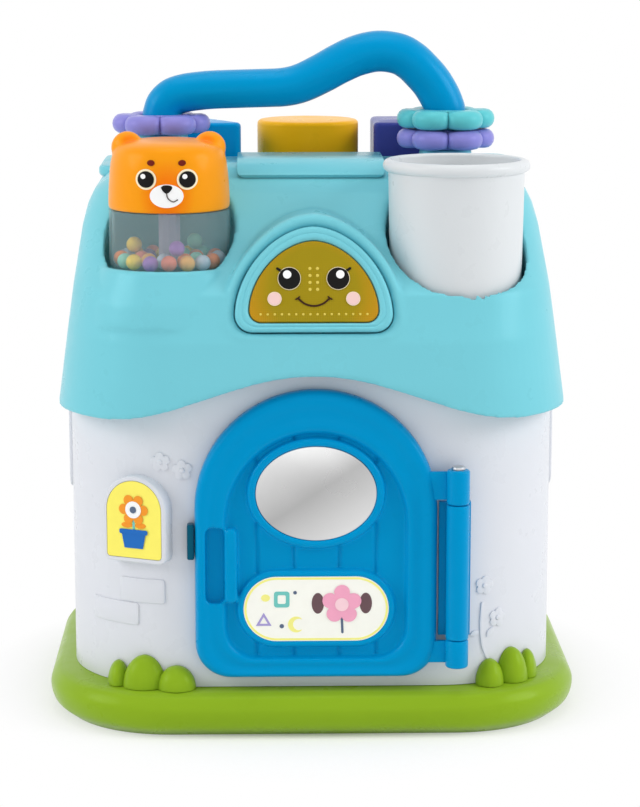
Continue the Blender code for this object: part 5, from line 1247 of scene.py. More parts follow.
def dot(centre, radius, steps=64):
    return [ellipse(centre, (radius, radius), steps)]


def eye_prints(kind, side, centre, edge, radius, shine, steps):
    """A black eye with a pale edge and a white shine, which is (across, up, size) in radii."""
    across, up, size = shine
    spot = (centre[0] + across * radius, centre[1] + up * radius)
    return [(f"{kind}_eye_edge_{side}", dot(centre, edge), 0, "cream"),
            (f"{kind}_eye_{side}", dot(centre, radius), 1, "black"),
            (f"{kind}_eye_shine_{side}", dot(spot, radius * size, steps), 2, "white")]


def merged(name, pieces):
    """Makes one object of several closed pieces that don't touch."""
    shape = bmesh.new()
    for piece in pieces:
        shape.from_mesh(piece.data)
        bpy.data.objects.remove(piece)
    return put(name, shape)


def build_bezel(name):
    """The face's rim: a soft ridge, a bright inner lip and a flange behind."""
    profile = [(0.0, LENS_FLOOR - GAP)] + BEZEL_SECTION
    outer, inner = face_outline(0), face_outline(GAP, LENS_OUTLINE)
    width = BEZEL_SECTION[-1][0]
    rings = [[(*Vector(start).lerp(Vector(end), inset / width), height)
              for start, end in zip(outer, inner)] for inset, height in profile]
    place = face_place()
    bezel = skin(name, rings, place, closed=True)
    low, seat = -HUMP_WALL - GAP - FLANGE_THICKNESS, face_outline(-LENS_SEAT, LENS_OUTLINE)
    flange = plate("flange", [face_outline(FLANGE_REACH), seat], low, low + FLANGE_THICKNESS, place)
    sleeve = plate("sleeve", [outer, seat], low + GAP, LENS_FLOOR - GAP / 2, place)
    return fuse(bezel, flange, sleeve)


def face_prints():
    """The smiling face: eyes with lashes, a smile and round cheeks, printed on the lens."""
    place, low = face_place(), BEZEL_PROUD - LENS_SET_BACK
    across, up, size = EYE_SHINE
    prints = []
    for side in (-1, 1):
        name = "left" if side < 0 else "right"
        eye, cheek = (side * EYE[0], EYE[1]), (side * CHEEK[0], CHEEK[1])
        prints += eye_prints("face", name, eye, EYE[2] + EYE_EDGE, EYE[2],
                             (side * across, up, size), 32)
        prints += [(f"face_cheek_edge_{name}", dot(cheek, CHEEK[2] + EYE_EDGE, 48), 0, "cream"),
                   (f"face_cheek_{name}", dot(cheek, CHEEK[2], 48), 1, "pink")]
        stroke = [(eye[0] + side * along, eye[1] + rise) for along, rise in LASH]
        prints.append((f"face_lash_{name}", [ribbon(stroke, LASH_HALF)], 0, "black"))
        tick = [(side * along, rise) for along, rise in SMILE_TICK]
        prints.append((f"face_smile_end_{name}", [ribbon(tick, SMILE_HALF * 0.8)], 1, "brown"))
    prints.append(("face_smile", [ribbon(SMILE, SMILE_HALF)], 0, "brown"))
    return [(printed(name, loops, low + GAP / 3 + LAYER * layer, place, INK_THICKNESS), tint)
            for name, loops, layer, tint in prints]


def face_dots():
    """Small raised dots: a double row between the eyes and one row along the foot."""
    place, low = face_place(), BEZEL_PROUD - LENS_SET_BACK
    dots = []
    for row in range(DOT_ROWS):
        for side in (-1, 1):
            dots.append((side * DOT_ACROSS, DOT_LOW + row * DOT_PITCH, DOT_RADIUS))
    for number in range(FOOT_DOTS):
        share = 2 * number / (FOOT_DOTS - 1) - 1
        dots.append((share * FOOT_DOT_SPAN, FOOT_DOT_UP, FOOT_DOT_RADIUS))
    return merged("face_dots", [
        ball(f"dot {number}", (across, up, low), (radius, radius, radius * 0.5), 12, place)
        for number, (across, up, radius) in enumerate(dots)
    ])


# Bear's face


def bear_prints(head):
    """Eyes, brows, muzzle, nose and mouth, which lie on the round of the head."""
    place = facing_front(-RATTLE[1] + RATTLE[2])
    x = RATTLE[0] + BEAR_SHIFT
    prints = [("bear_muzzle", [ellipse((x, MUZZLE[0]), MUZZLE[1:])], 0, "white")]
    nose = [(x + across * NOSE[1], NOSE[0] + up * NOSE[2]) for across, up in NOSE_SHARES]
    nose = flat_route(nose + nose[:1], 5)[:-1]
    mouth = ribbon([(x + across, up) for across, up in BEAR_MOUTH], MOUTH_HALF)
    prints += [("bear_nose", [nose], 1, "black"), ("bear_mouth", [mouth], 1, "grey")]
    for side in (-1, 1):
        name = "left" if side < 0 else "right"
        prints += eye_prints("bear", name, (x + side * BEAR_EYE[0], BEAR_EYE[1]), *BEAR_EYE[2:],
                             BEAR_SHINE, 24)
        brow = ellipse((x + side * BROW[0], BROW[1]), BROW[2:], 32)
        prints.append((f"bear_brow_{name}", [brow], 0, "russet"))
    return [(laid_on(name, loops, head, place, GAP / 3 + LAYER * layer), tint)
            for name, loops, layer, tint in prints]


# Handle and rings


def handle_route():
    across, foot = LEG_RIGHT - LEG_LEFT, HANDLE_LEVEL + GAP
    path = [(LEG_LEFT + share * across, 0, HANDLE_LEVEL + rise * HANDLE_RISE)
            for share, rise in HANDLE_SHARES]
    return smooth_route([(LEG_LEFT, 0, foot)] + path + [(LEG_RIGHT, 0, foot)], 8)


def build_handle(name):
    """The carrying handle, which thickens a little to its right, with its two screw holes."""
    route = handle_route()
    shares = [(point[0] - LEG_LEFT) / (LEG_RIGHT - LEG_LEFT) for point in route]
    swell = [1 + HANDLE_SWELL * min(max(share - SWELL_FROM, 0) / SWELL_OVER, 1) for share in shares]
    handle = tube(name, route, HANDLE_RADIUS, swell, 48)
    return carve(handle, *[
        rod("bore", (across, 0), SCREW_HOLE, HANDLE_LEVEL - BEYOND, HANDLE_LEVEL + GAP + LEG_BORE,
            steps=24) for across in (LEG_LEFT, LEG_RIGHT)
    ])


def build_collar(name):
    outer, inner, height = COLLAR
    low, soft = HANDLE_LEVEL + GAP, COLLAR_SOFT
    top = low + height
    bend = arc((outer - soft, top - soft), (soft, soft), 0, QUARTER, 6)
    profile = [(inner, low), (outer, low), *bend, (inner, top)]
    return turned(name, profile, Matrix.Translation((LEG_LEFT, 0, 0)), closed=True)


def build_ring(name, across, low, depth):
    """A puffy flower with a round bore: petals that swell on top and meet in soft creases."""
    outer, wave, bore, thick = RING_SIZE
    half = thick / 2
    puff = half * PUFF
    turns = [TURN * step / RING_STEPS for step in range(RING_STEPS)]
    shares = [abs(math.cos(3 * turn)) ** RING_POWER for turn in turns]
    petals_and_folds = [(outer - wave + 2 * wave * share, depth * (1 - share)) for share in shares]
    section = ((0.0, RING_EDGE), (RING_EDGE * 0.3, RING_EDGE * 0.3), (RING_EDGE, 0.0))
    under = [[(bore + inset, height)] * RING_STEPS for inset, height in section]
    under += [[(bore + (tip - bore) * share, fold) for tip, fold in petals_and_folds]
              for share in RING_FLATS]
    side = [[(tip - puff * (1 - math.cos(turn)), half + (half - fold) * math.sin(turn))
             for tip, fold in petals_and_folds]
            for turn in (math.pi * (step / 8 - 0.5) for step in range(9))]
    over = [[(out, thick - height) for out, height in ring] for ring in reversed(under)]
    rings = under + side + over
    loops = [[(across + radius * math.cos(turn), radius * math.sin(turn), low + height)
              for (radius, height), turn in zip(ring, turns)] for ring in rings]
    return skin(name, loops, closed=True)


# Door, hinge and catch


def door_place():
    return facing_front(WALL_HALF[1] + GAP)


def pill(grow=0.0, centre=(DOOR_CENTRE, LABEL[2])):
    across, up = LABEL[0] + grow, LABEL[1] + grow
    return rounded(centre[0] - across, centre[0] + across, centre[1] - up, centre[1] + up, up)


def oval(grow=0.0):
    return ellipse((DOOR_CENTRE, MIRROR[2]), (MIRROR[0] + grow, MIRROR[1] + grow), 96)


def raised_rim(name, outline, width, low, high):
    """A soft rim that stands on the door's panel, solid below its outline."""
    half = width / 2
    rings = [[(*spot, low) for spot in outline(width)]]
    for turn in (QUARTER * step / 6 for step in range(7)):
        height = high - half * RIM_FALL * (1 - math.sin(turn))
        rings.append([(*spot, height) for spot in outline(width - half * (1 - math.cos(turn)))])
    return skin(name, rings, door_place())


def build_door(name):
    """The door leaf: a swollen frame round a planked panel, with rims for mirror and label."""
    place = door_place()
    outer = arched(DOOR_CENTRE, DOOR_HALF, DOOR_BOTTOM, DOOR_SPRING, DOOR_SPRING + DOOR_HALF,
                   DOOR_FOOT_RADIUS)
    inner = arched(DOOR_CENTRE, *PANEL_OUTLINE)
    loops = [[(left + (right - left) * share, low + (high - low) * share, height)
              for (left, low), (right, high) in zip(outer, inner)]
             for share, height in DOOR_SECTION]
    frame = skin(name, loops, place, closed=True)
    panel = plate("panel", [inner], GAP / 2, DOOR_PANEL - GAP / 2, place)
    for share in GROOVE_SHARES:
        middle = DOOR_CENTRE + share * PANEL_OUTLINE[0]
        low = (middle - GROOVE_WIDTH / 2, PANEL_OUTLINE[1], DOOR_PANEL - GROOVE_DEPTH)
        high = (middle + GROOVE_WIDTH / 2, PANEL_OUTLINE[3], DOOR_THICKNESS)
        carve(panel, brick("groove", low, high, place))
    pull = rounded(PULL_ACROSS, PULL_ACROSS + PULL_WIDTH, PULL_LOW, PULL_HIGH, PULL_WIDTH / 2)
    fin = plate("fin", [pull], DOOR_PANEL / 2, DOOR_THICKNESS + PULL_PROUD, place)
    fuse(frame, panel, raised_rim("mirror rim", oval, MIRROR_RIM, DOOR_PANEL / 2, DOOR_THICKNESS),
         raised_rim("label rim", pill, LABEL_RIM, DOOR_PANEL / 2, DOOR_THICKNESS - LABEL_THICKNESS),
         eased(fin, PULL_WIDTH / 4, 4))
    mirror_floor = DOOR_THICKNESS - 2 * MIRROR_THICKNESS
    label_floor = DOOR_THICKNESS - 3 * LABEL_THICKNESS
    scoop = rounded(PULL_ACROSS - SCOOP_WIDTH, PULL_ACROSS, PULL_LOW, PULL_HIGH, SCOOP_WIDTH / 3)
    front = DOOR_THICKNESS + BEYOND
    carve(frame, plate("mirror seat", [oval(GAP)], mirror_floor, front, place),
          plate("label seat", [pill(GAP)], label_floor, front, place),
          plate("scoop", [scoop], SCOOP_FLOOR, front, place))
    softened(frame, edges().fine_voxel, edges().fine_soften)
    return fuse(frame, *hinge_knuckles())


def hinge_knuckles():
    """The door's two knuckles, with the arms that carry them."""
    right, back = DOOR_CENTRE + DOOR_HALF, WALL_HALF[1] + GAP
    pieces = []
    front, rear = [-back - DOOR_THICKNESS * share for share in ARM_SHARES]
    for number, (low, high) in enumerate(KNUCKLES):
        knuckle = rod(f"knuckle {number}", HINGE_AXIS, KNUCKLE_RADIUS, low, high, steps=48)
        arm = brick("arm", (right - ARM_LAP, front, low + ARM_INSET),
                    (HINGE_AXIS[0], rear, high - ARM_INSET))
        knuckle = fuse(eased(knuckle, None, 4), eased(arm, ARM_INSET / 2, 3))
        pieces.append(carve(knuckle, pin_bore(low, high)))
    return pieces


def pin_bore(low, high):
    return rod("bore", HINGE_AXIS, PIN_RADIUS + GAP, low - BEYOND, high + BEYOND, steps=32)


def build_barrel(name):
    """The barrel on the wall, with its web and foot."""
    low, high = BARREL
    across, along = HINGE_AXIS
    back = WALL_HALF[1] + GAP
    barrel = eased(rod(name, HINGE_AXIS, KNUCKLE_RADIUS, low, high, steps=48), GAP * 2, 3)
    web = brick("web", (across - HINGE_WEB, along, low), (across + HINGE_WEB, -WALL_HALF[1], high))
    left, right, deep = HINGE_FOOT
    foot = brick("foot", (across - left, -back - deep, low),
                 (across + right, WALL_THICKNESS - WALL_HALF[1], high))
    fuse(barrel, web, eased(foot, GAP, 2))
    return carve(barrel, plate("wall room", [wall_outline(GAP)], 0, WALL_TOP), pin_bore(low, high))


def build_pin(name):
    """The hinge's pin, with a round head on the upper knuckle."""
    foot, seat = KNUCKLES[0][0], KNUCKLES[1][1] + GAP
    radius, rise = PIN_HEAD
    crown = arc((0, seat + rise / 2), (radius, rise / 2), QUARTER, 0, 8)[1:]
    profile = [(0, seat + rise), *crown, (radius, seat), (PIN_RADIUS, seat), (PIN_RADIUS, foot),
               (0, foot)]
    return turned(name, profile, Matrix.Translation((*HINGE_AXIS, 0)), 32)


def build_catch(name):
    wide, deep, low, high = CATCH
    left, back = DOOR_CENTRE - DOOR_HALF - GAP, WALL_HALF[1] + GAP
    return eased(brick(name, (left - wide, -back - deep, low), (left, -back, high)), wide / 4, 3)


# Labels


def stacked(prints, centre, low, place):
    """Thin prints in layers over a height of a frame, their outlines drawn about a centre."""
    pieces = []
    for name, loops, layer, tint in prints:
        loops = [[(centre[0] + across, centre[1] + up) for across, up in loop] for loop in loops]
        pieces.append((printed(name, loops, low + LAYER * layer, place, LAYER / 2), tint))
    return pieces


def flower(centre, radius, count, turn=0.0):
    return [petals(centre, radius * 0.8, radius * 0.2, count, turn)]


def triangle(centre, radius):
    return [(centre[0] + radius * math.cos(QUARTER + TURN * corner / 3),
             centre[1] + radius * math.sin(QUARTER + TURN * corner / 3)) for corner in range(3)]


def door_label_prints():
    """Pastel shapes at the left of the label and a pink flower at its right."""
    apart, up, *leaf = BLOOM_LEAF
    prints = [
        ("label_edge", [pill(line, (0, 0)) for line in EDGE_LINE], 0, "lemon"),
        ("label_triangle", [triangle(LABEL_TRIANGLE[0], radius) for radius in LABEL_TRIANGLE[1]], 0,
         "mauve"),
        ("label_square", [rounded(*sides) for sides in LABEL_SQUARE], 0, "mint"),
        ("label_moon", [arc(*MOON_OUTSIDE) + arc(*MOON_INSIDE)], 0, "lemon"),
    ]
    prints += [(f"label_spot_{number}", [ellipse(*spot)], 0, tint)
               for number, (*spot, tint) in enumerate(LABEL_SPOTS, 1)]
    prints += [(f"label_leaf_{number}", [ellipse((BLOOM[0] + side * apart, up), leaf, 48)], 0,
                "umber") for number, side in enumerate((-1, 1), 1)]
    prints += [
        ("label_stem", [ribbon(BLOOM_STEM, STALK_HALF)], 0, "slate"),
        ("label_flower", flower(BLOOM, BLOOM_RADIUS, 5, 0.3), 1, "rose"),
        ("label_flower_eye", dot(BLOOM, BLOOM_EYE, 32), 2, "blush"),
    ]
    return stacked(prints, (DOOR_CENTRE, LABEL[2]), DOOR_THICKNESS - 2 * LABEL_THICKNESS + GAP,
                   door_place())


def window_prints():
    """An orange flower with a white middle, in a blue pot."""
    low = PLAQUE_PROUD - WINDOW_DEPTH + GAP + WINDOW_THICKNESS + GAP / 3
    (apart, up), leaf = SPRIG_LEAF
    radius, ring, eye = POT_BLOOM_SIZES
    prints = [
        ("window_pot", [POT], 1, "pot"),
        ("window_pot_rim", [rounded(*POT_RIM)], 2, "pot"),
        ("window_stem", [ribbon(SPRIG, STALK_HALF)], 0, "mint"),
        ("window_leaf_1", [ellipse((-apart, up), leaf, 32)], 0, "orange"),
        ("window_leaf_2", [ellipse((apart, up), leaf, 32)], 0, "orange"),
        ("window_flower", flower(POT_BLOOM, radius, 6), 1, "orange"),
        ("window_flower_ring", dot(POT_BLOOM, ring, 40), 2, "white"),
        ("window_flower_eye", dot(POT_BLOOM, eye, 32), 3, "slate"),
    ]
    return stacked(prints, (0, (PLAQUE_LOW + PLAQUE_HIGH) / 2), low, plaque_place())


# The finishes of this house


INKS = {
    "cream": (0.98, 0.93, 0.80), "black": (0.05, 0.04, 0.04), "white": (0.97, 0.97, 0.97),
    "pink": (0.93, 0.79, 0.77), "brown": (0.22, 0.12, 0.05), "grey": (0.36, 0.33, 0.33),
    "lemon": (0.97, 0.95, 0.55), "mauve": (0.66, 0.62, 0.83), "mint": (0.45, 0.78, 0.75),
    "slate": (0.36, 0.42, 0.52), "umber": (0.42, 0.32, 0.34), "rose": (0.96, 0.66, 0.77),
    "russet": (0.42, 0.10, 0.06), "blush": (0.99, 0.83, 0.86), "orange": (0.96, 0.60, 0.18),
    "pot": (0.13, 0.42, 0.74),
}
BEAD_TINTS = ((0.80, 0.84, 0.90), (1.0, 0.52, 0.08), (0.58, 0.84, 0.74), (0.98, 0.82, 0.20),
              (0.66, 0.44, 0.74), (0.94, 0.52, 0.42), (0.98, 0.72, 0.34))


def ink(name):
    name, tint = f"ink_{name}", INKS[name]
    return bpy.data.materials.get(name) or printed_ink(name, on_screen(*tint))


def plastic(name, tint, **looks):
    name = f"{name}_moulded"
    return bpy.data.materials.get(name) or moulded(name, tuple(tint), **looks)


def bear_finish():
    """Orange plastic that deepens round the muzzle, with painted shade as deeper orange in the
    ears.
    """
    finish, tints = Finish("bear_moulded"), plastics()
    muzzle = (RATTLE[0] + BEAR_SHIFT, RATTLE[1] - RATTLE[2], MUZZLE[0])
    share = finish.between(finish.distance_from(muzzle, (1, 1, 0.8)), 0.0, 1.0, *MUZZLE_FADE)
    for side in (-1, 1):
        # Painted shade: each ear turns to the deeper orange at its front
        ear = (RATTLE[0] + side * EAR[0] * EAR_SHADE_SPOT, RATTLE[1] - EAR[3], EAR[1] + EAR[2] / 2)
        inside = finish.between(finish.distance_from(ear), 0.15, 1.0, *EAR_SHADE_FADE)
        share = finish.combine("MINIMUM", share, inside)
    tint = finish.blend(share, tuple(tints.blaze_and_ear_shade), mottled(finish, tuple(tints.bear), 0.02))
    finish.shade(Base_Color=tint, Roughness=finish.polish(0.27, 0.40, 90.0),
                 Normal=finish.bump(finish.noise(FINE_GRAIN), tints.grain))
    finish.gloss(tints.bear, 0.06)
    return finish.material


def lens_finish():
    """Gold printed mesh behind clear plastic, amber towards its edge."""
    finish, tints = Finish("lens_print"), plastics()
    flat = finish.add("ShaderNodeMapping", {"vector_type": "TEXTURE"}, Vector=finish.place(),
                      Location=(0, -FACE_FRONT, FACE_FOOT), Rotation=(QUARTER - FACE_TILT, 0, 0))
    flat = flat.outputs["Vector"]
    mesh = finish.add("ShaderNodeTexVoronoi", {"feature": "F1"}, Vector=flat, Scale=LENS_MESH,
                      Randomness=0.0)
    holes = finish.between(mesh.outputs["Distance"], 0.72, 1.0, 0.18, 0.42)
    span = finish.vectors("LENGTH", finish.vectors("SUBTRACT", flat, (0, LENS_MIDDLE, 0)))
    edge = finish.between(span, 0.0, 1.0, *LENS_FADE)
    gold = mottled(finish, tuple(tints.lens), 0.04, 60.0)
    tint = finish.blend(edge, gold, tuple(tints.lens_edge))
    finish.shade(Base_Color=finish.vectors("SCALE", tint, holes),
                 Roughness=finish.between(holes, 0.30, 0.22),
                 Normal=finish.bump(holes, tints.grain * 2))
    finish.gloss(tints.lens, 0.08, 0.08)
    return finish.material


def mirror_finish():
    """Silvered sheet with a painted reflection: a soft grey sweep across it."""
    finish = Finish("mirror_silver")
    # Painted reflection: the silver's colour turns darker grey along a diagonal band
    across = finish.vectors("DOT_PRODUCT", finish.place(), PAINTED_REFLECTION_ACROSS)
    share = finish.combine("ABSOLUTE", finish.between(across, -1.0, 1.0, *PAINTED_REFLECTION_SPAN))
    haze = finish.between(finish.noise(45.0, 3.0), -0.12, 0.12)
    dark, pale = (on_screen(grey, grey, grey) for grey in PAINTED_REFLECTION_GREYS)
    tint = finish.blend(finish.combine("ADD", share, haze), dark, pale)
    finish.shade(Base_Color=tint, Metallic=1.0,
                 Roughness=finish.between(finish.noise(60.0), 0.24, 0.34),
                 Normal=finish.bump(finish.noise(30.0), plastics().grain))
    return finish.material


def clear_finish():
    """Clear plastic with a faint cool tint."""
    finish = Finish("clear_shell")
    facing = finish.add("ShaderNodeLayerWeight", Blend=0.5).outputs["Facing"]
    finish.shade(Base_Color=mottled(finish, on_screen(0.72, 0.84, 0.86), 0.02),
                 Roughness=finish.polish(0.04, 0.12, 80.0, 3.0),
                 Normal=finish.bump(finish.noise(900.0), plastics().grain / 3),
                 Alpha=finish.between(facing, 0.14, 0.40, 0.62, 1.0), IOR=PLASTIC_IOR)
    return finish.material


def board_finish():
    """Green lacquer with paler copper tracks under it."""
    finish = Finish("board_lacquer")
    tracks = finish.add("ShaderNodeTexBrick", Vector=finish.place(), Scale=180.0).outputs["Fac"]
    finish.shade(Base_Color=finish.blend(tracks, on_screen(0.09, 0.33, 0.16),
                                         on_screen(0.16, 0.45, 0.24)),
                 Roughness=finish.between(finish.noise(200.0), 0.3, 0.5),
                 Normal=finish.bump(tracks, plastics().grain))
    return finish.material


def battery_finish():
    """A dark printed sleeve with a copper-coloured band."""
    finish = Finish("battery_sleeve")
    apart = finish.add("ShaderNodeSeparateXYZ", Vector=finish.place())
    band = finish.between(apart.outputs["X"], 0.0, 1.0, *BATTERY_BAND)
    finish.shade(Base_Color=finish.blend(band, on_screen(0.08, 0.08, 0.09),
                                         on_screen(0.74, 0.48, 0.25)),
                 Metallic=0.6, Roughness=finish.between(finish.noise(300.0), 0.25, 0.40),
                 Normal=finish.bump(finish.noise(900.0), plastics().grain / 2))
    return finish.material


def dress(material, *nodes):
    """Gives solids whose shape is right already a better material."""
    for node in nodes:
        mesh_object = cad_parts[node]
        for material_slot in mesh_object.material_slots:
            material_slot.link = "OBJECT"
            material_slot.material = material


# The stage


def seen_directly(nodes):
    """One for light that the camera sees by itself, in gloss or through glass, and else nought."""
    ray = nodes.add("ShaderNodeLightPath").outputs
    seen = nodes.combine("MAXIMUM", ray["Is Camera Ray"], ray["Is Glossy Ray"])
    return nodes.combine("MAXIMUM", seen, ray["Is Transmission Ray"])


def build_floor():
    """A pale floor that fades to white away from the toy."""
    shape = bmesh.new()
    bmesh.ops.create_circle(shape, cap_ends=True, segments=96, radius=STAGE_RADIUS)
    floor = put("floor", shape)
    finish = Finish("pale_floor")
    white = finish.add("ShaderNodeEmission", Color=(1, 1, 1), Strength=1.0)
    far = finish.between(finish.distance_from((0, 0, 0)), 0.0, 1.0, *FLOOR_FADE)
    shown = finish.combine("MULTIPLY", seen_directly(finish), far)
    mixed = finish.add("ShaderNodeMixShader", Fac=shown)
    finish.shade(Base_Color=mottled(finish, tuple(stage_settings().floor), 0.004), Roughness=0.9)
    finish.feed(mixed.inputs[1], finish.shader.outputs["BSDF"])
    finish.feed(mixed.inputs[2], white.outputs["Emission"])
    finish.feed(finish.tree.nodes["Material Output"].inputs["Surface"], mixed.outputs["Shader"])
    floor.data.materials.append(finish.material)


def light_world():
    """White as the camera sees it, with a softer light on the toy."""
    world = bpy.data.worlds.new("studio")
    world.use_nodes = True
    bpy.context.scene.world = world
    nodes = Nodes(world.node_tree)
    background = nodes.tree.nodes["Background"]
    strength = nodes.between(seen_directly(nodes), stage_settings().sky, 1.0)
    nodes.feed(background.inputs["Color"], (1, 1, 1))
    nodes.feed(background.inputs["Strength"], strength)


def add_lamp(name, power, size, place):
    data = bpy.data.lights.new(name, "AREA")
    data.energy, data.size, data.shape = power, size, "DISK"
    lamp = bpy.data.objects.new(name, data)
    lamp.location = place
    lamp.rotation_euler = (Vector(AIM) - Vector(place)).to_track_quat("-Z", "Y").to_euler()
    bpy.context.scene.collection.objects.link(lamp)


def set_camera():
    data = bpy.data.cameras.new("camera")
    data.sensor_width, data.lens = CAMERA_SENSOR, CAMERA_LENS
    camera = bpy.data.objects.new("camera", data)
    camera.location = CAMERA_PLACE
    camera.rotation_euler = (QUARTER - CAMERA_PITCH, 0, -CAMERA_YAW)
    bpy.context.scene.collection.objects.link(camera)
    bpy.context.scene.camera = camera


# One operator for each piece or group of pieces


class HOUSE_OT_base(bpy.types.Operator):
    """Builds the green base with its two bushes"""

    bl_idname = "house.base"
    bl_label = "Base and bushes"

    def execute(self, context):
        green = plastic("green", plastics().green)
        finished(build_base("base_moulding"), green, "house", "green_plastic", "base_tray")
        for name, lumps in (("bush_left", BUSH_LEFT), ("bush_right", BUSH_RIGHT)):
            finished(build_bush(f"{name}_moulding", lumps), green, "house", "green_plastic", name)
        dress(green, "base_plate")
        return {"FINISHED"}


class HOUSE_OT_walls(bpy.types.Operator):
    """Builds the walls with their low reliefs and the window plaque"""

    bl_idname = "house.walls"
    bl_label = "Walls"

    def execute(self, context):
        white = plastic("wall", plastics().walls, shade=0.012)
        front, rear = build_walls()
        finished(front, white, "house", "white_plastic", "front_wall")
        finished(rear, white, "house", "white_plastic", "rear_wall")
        for piece in wall_reliefs():
            finished(piece, white, "house", "white_plastic")
        low = PLAQUE_PROUD - WINDOW_DEPTH + GAP
        film = plate("window_film", [plaque_outline(WINDOW_MARGIN + GAP)], low,
                     low + WINDOW_THICKNESS, plaque_place())
        paper = printed_ink("window_print", on_screen(*WINDOW_PAPER))
        finished(film, paper, "house", "label_film", "window_label")
        for piece, name in window_prints():
            finished(piece, ink(name), "house", "label_film")
        dress(white, "battery_box", "battery_cover")
        return {"FINISHED"}


class HOUSE_OT_roof(bpy.types.Operator):
    """Builds the aqua roof with the hump, the rattle's pocket and the cup's socket"""

    bl_idname = "house.roof"
    bl_label = "Roof"

    def execute(self, context):
        finished(build_roof("roof_moulding"), plastic("aqua", plastics().roof), "house",
                 "aqua_plastic", "roof_shell")
        return {"FINISHED"}


class HOUSE_OT_sorter(bpy.types.Operator):
    """Builds the sorter's lid and the three blocks that stand in its holes"""

    bl_idname = "house.sorter"
    bl_label = "Lid and blocks"

    def execute(self, context):
        tints = plastics()
        finished(build_lid("lid_moulding"), plastic("aqua", tints.roof), "house", "aqua_plastic",
                 "sorter_lid")
        shapes = zip(BLOCKS, block_outlines(0), block_outlines(-BLOCK_WALL))
        for (kind, slot), outline, hollow in shapes:
            node = f"block_{kind}"
            finished(build_block(f"{node}_moulding", outline, hollow),
                     plastic(slot, getattr(tints, kind)), node, slot, node)
        return {"FINISHED"}


class HOUSE_OT_rattle(bpy.types.Operator):
    """Builds the rattle: a clear drum of beads under a bear's head"""

    bl_idname = "house.rattle"
    bl_label = "Rattle"

    def execute(self, context):
        finished(build_drum("drum_moulding"), clear_finish(), "rattle", "clear_plastic",
                 "rattle_drum")
        head = build_head("bear_head_moulding")
        for piece, name in bear_prints(head):
            finished(piece, ink(name), "rattle", "orange_plastic")
        finished(head, bear_finish(), "rattle", "orange_plastic", "bear_head")
        groups = [[] for _ in BEAD_TINTS]
        for number, (centre, tint) in enumerate(bead_places()):
            groups[tint].append(ball(f"bead {number}", centre, (BEAD_RADIUS,) * 3, 20))
        for number, (beads, tint) in enumerate(zip(groups, BEAD_TINTS), 1):
            piece = merged(f"beads_{number}", beads)
            nodes = ("rattle_beads",) if number == 1 else ()
            finished(piece, plastic(f"bead_{number}", on_screen(*tint)), "rattle", "yellow_plastic",
                     *nodes)
        dress(plastic("post", on_screen(*POST_GREY)), "rattle_post")
        return {"FINISHED"}


class HOUSE_OT_cup(bpy.types.Operator):
    """Builds the white cup with its rolled rim"""

    bl_idname = "house.cup"
    bl_label = "Cup"

    def execute(self, context):
        finished(build_cup("cup_moulding"), plastic("cup", plastics().cup, shade=0.012), "cup",
                 "white_plastic", "cup")
        return {"FINISHED"}


class HOUSE_OT_face(bpy.types.Operator):
    """Builds the smiling push button"""

    bl_idname = "house.face"
    bl_label = "Face button"

    def execute(self, context):
        finished(build_bezel("bezel_moulding"), plastic("aqua", plastics().roof), "face_button",
                 "aqua_plastic", "face_bezel")
        low = BEZEL_PROUD - LENS_SET_BACK - LENS_THICKNESS
        lens = plate("lens_moulding", [face_outline(0, LENS_OUTLINE)], low, low + LENS_THICKNESS,
                     face_place())
        finished(eased(lens, LENS_SET_BACK, 3), lens_finish(), "face_button", "lens_plastic",
                 "face_lens")
        for piece, name in face_prints():
            finished(piece, ink(name), "face_button", "lens_plastic")
        finished(face_dots(), printed_ink("ink_gold", on_screen(*DOT_GOLD), 0.25), "face_button",
                 "lens_plastic")
        return {"FINISHED"}


class HOUSE_OT_door(bpy.types.Operator):
    """Builds the blue door with its mirror, label, hinge and catch"""

    bl_idname = "house.door"
    bl_label = "Door"

    def execute(self, context):
        blue, place = plastic("blue", plastics().blue), door_place()
        finished(build_door("door_moulding"), blue, "door", "blue_plastic", "door_leaf")
        low = DOOR_THICKNESS - 2 * MIRROR_THICKNESS + GAP
        mirror = eased(plate("mirror_sheet", [oval()], low, low + MIRROR_THICKNESS, place), GAP, 2)
        finished(mirror, mirror_finish(), "door", "mirror_film", "door_mirror")
        low = DOOR_THICKNESS - 3 * LABEL_THICKNESS + GAP
        label = plate("label_film", [pill()], low, low + LABEL_THICKNESS, place)
        paper = printed_ink("label_print", on_screen(*LABEL_PAPER))
        finished(label, paper, "door", "label_film", "door_label")
        for piece, name in door_label_prints():
            finished(piece, ink(name), "door", "label_film")
        finished(build_barrel("barrel_moulding"), blue, "house", "blue_plastic", "hinge_barrel")
        finished(build_pin("pin_turned"), plated_steel("pin_steel"), "house", "steel", "hinge_pin")
        finished(build_catch("catch_moulding"), plastic("dark_teal", plastics().catch), "house",
                 "dark_teal_plastic", "door_catch")
        return {"FINISHED"}


class HOUSE_OT_handle(bpy.types.Operator):
    """Builds the blue handle and the collar round its left foot"""

    bl_idname = "house.handle"
    bl_label = "Handle"

    def execute(self, context):
        finished(build_handle("handle_moulding"), plastic("blue", plastics().blue), "house",
                 "blue_plastic", "handle")
        finished(build_collar("collar_moulding"), plastic("aqua", plastics().roof), "house",
                 "aqua_plastic", "handle_collar")
        return {"FINISHED"}


class HOUSE_OT_rings(bpy.types.Operator):
    """Builds the three loose flower rings"""

    bl_idname = "house.rings"
    bl_label = "Flower rings"

    def execute(self, context):
        for node, across, low, crease, tint in RINGS:
            slot = f"{tint}_plastic"
            finished(build_ring(f"{node}_moulding", across, low, crease),
                     plastic(slot, getattr(plastics(), tint)), node, slot, node)
        return {"FINISHED"}


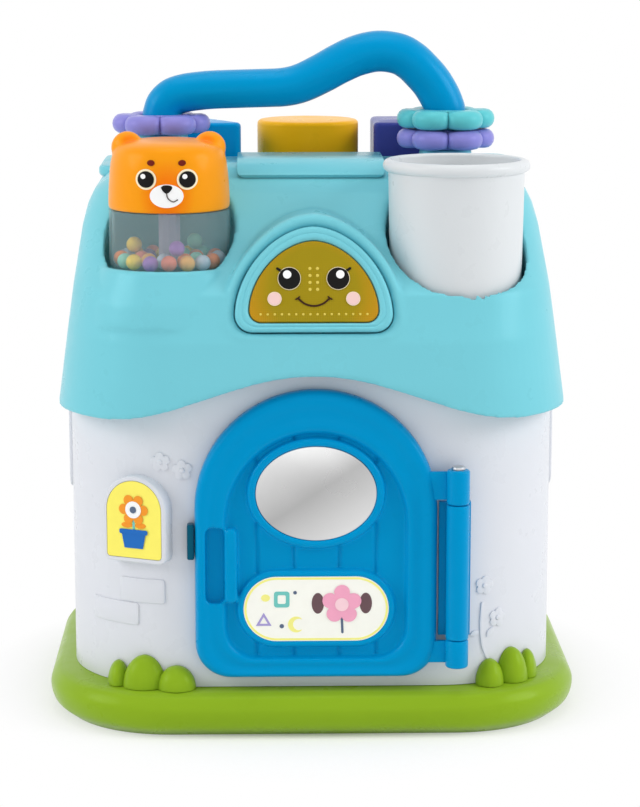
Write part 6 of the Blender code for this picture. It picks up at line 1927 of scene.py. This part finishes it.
class HOUSE_OT_hardware(bpy.types.Operator):
    """Finishes the screws, cells and electrical parts"""

    bl_idname = "house.hardware"
    bl_label = "Hardware"

    def execute(self, context):
        screws = [f"{place}_screw_{number}" for place in ("base", "roof") for number in range(1, 5)]
        dress(plated_steel("screw_steel"), *screws, "handle_screw_left", "handle_screw_right",
              "battery_cover_screw", "button_spring_left", "button_spring_right")
        dress(battery_finish(), "battery_1", "battery_2", "battery_3")
        dress(board_finish(), "light_board")
        dress(plastic("led", on_screen(*LAMP_WHITE)), "button_led")
        dress(plastic("black", on_screen(*PART_BLACK), roughness=0.5), "button_switch", "speaker")
        return {"FINISHED"}


class HOUSE_OT_stage(bpy.types.Operator):
    """Sets the floor, the soft lamps and the camera"""

    bl_idname = "house.stage"
    bl_label = "Stage"

    def execute(self, context):
        settings = stage_settings()
        build_floor()
        light_world()
        for name, size, place in LAMPS:
            add_lamp(name, getattr(settings, name), size, place)
        set_camera()
        context.scene.view_settings.view_transform = "Standard"
        return {"FINISHED"}


OPERATORS = (HOUSE_OT_stage, HOUSE_OT_base, HOUSE_OT_walls, HOUSE_OT_roof, HOUSE_OT_sorter,
             HOUSE_OT_rattle, HOUSE_OT_cup, HOUSE_OT_face, HOUSE_OT_door, HOUSE_OT_handle,
             HOUSE_OT_rings, HOUSE_OT_hardware)


class VIEW3D_PT_house(bpy.types.Panel):
    """The pieces and settings of the toy house"""

    bl_label = "Toy House"
    bl_space_type = "VIEW_3D"
    bl_region_type = "UI"
    bl_category = "Toy House"

    def draw(self, context):
        for operator in OPERATORS:
            self.layout.operator(operator.bl_idname, text=operator.bl_label)
        for group, settings in GROUPS:
            box = self.layout.box()
            for setting in settings.__annotations__:
                box.prop(getattr(context.scene, group), setting)


def register():
    for group, settings in GROUPS:
        bpy.utils.register_class(settings)
        setattr(bpy.types.Scene, group, PointerProperty(type=settings))
    for operator in OPERATORS:
        bpy.utils.register_class(operator)
    bpy.utils.register_class(VIEW3D_PT_house)


def unregister():
    bpy.utils.unregister_class(VIEW3D_PT_house)
    for operator in reversed(OPERATORS):
        bpy.utils.unregister_class(operator)
    for group, settings in reversed(GROUPS):
        delattr(bpy.types.Scene, group)
        bpy.utils.unregister_class(settings)


def main():
    register()
    for operator in OPERATORS:
        group, name = operator.bl_idname.split(".")
        getattr(getattr(bpy.ops, group), name)()
    bpy.context.view_layer.update()


if __name__ == "__main__":
    main()
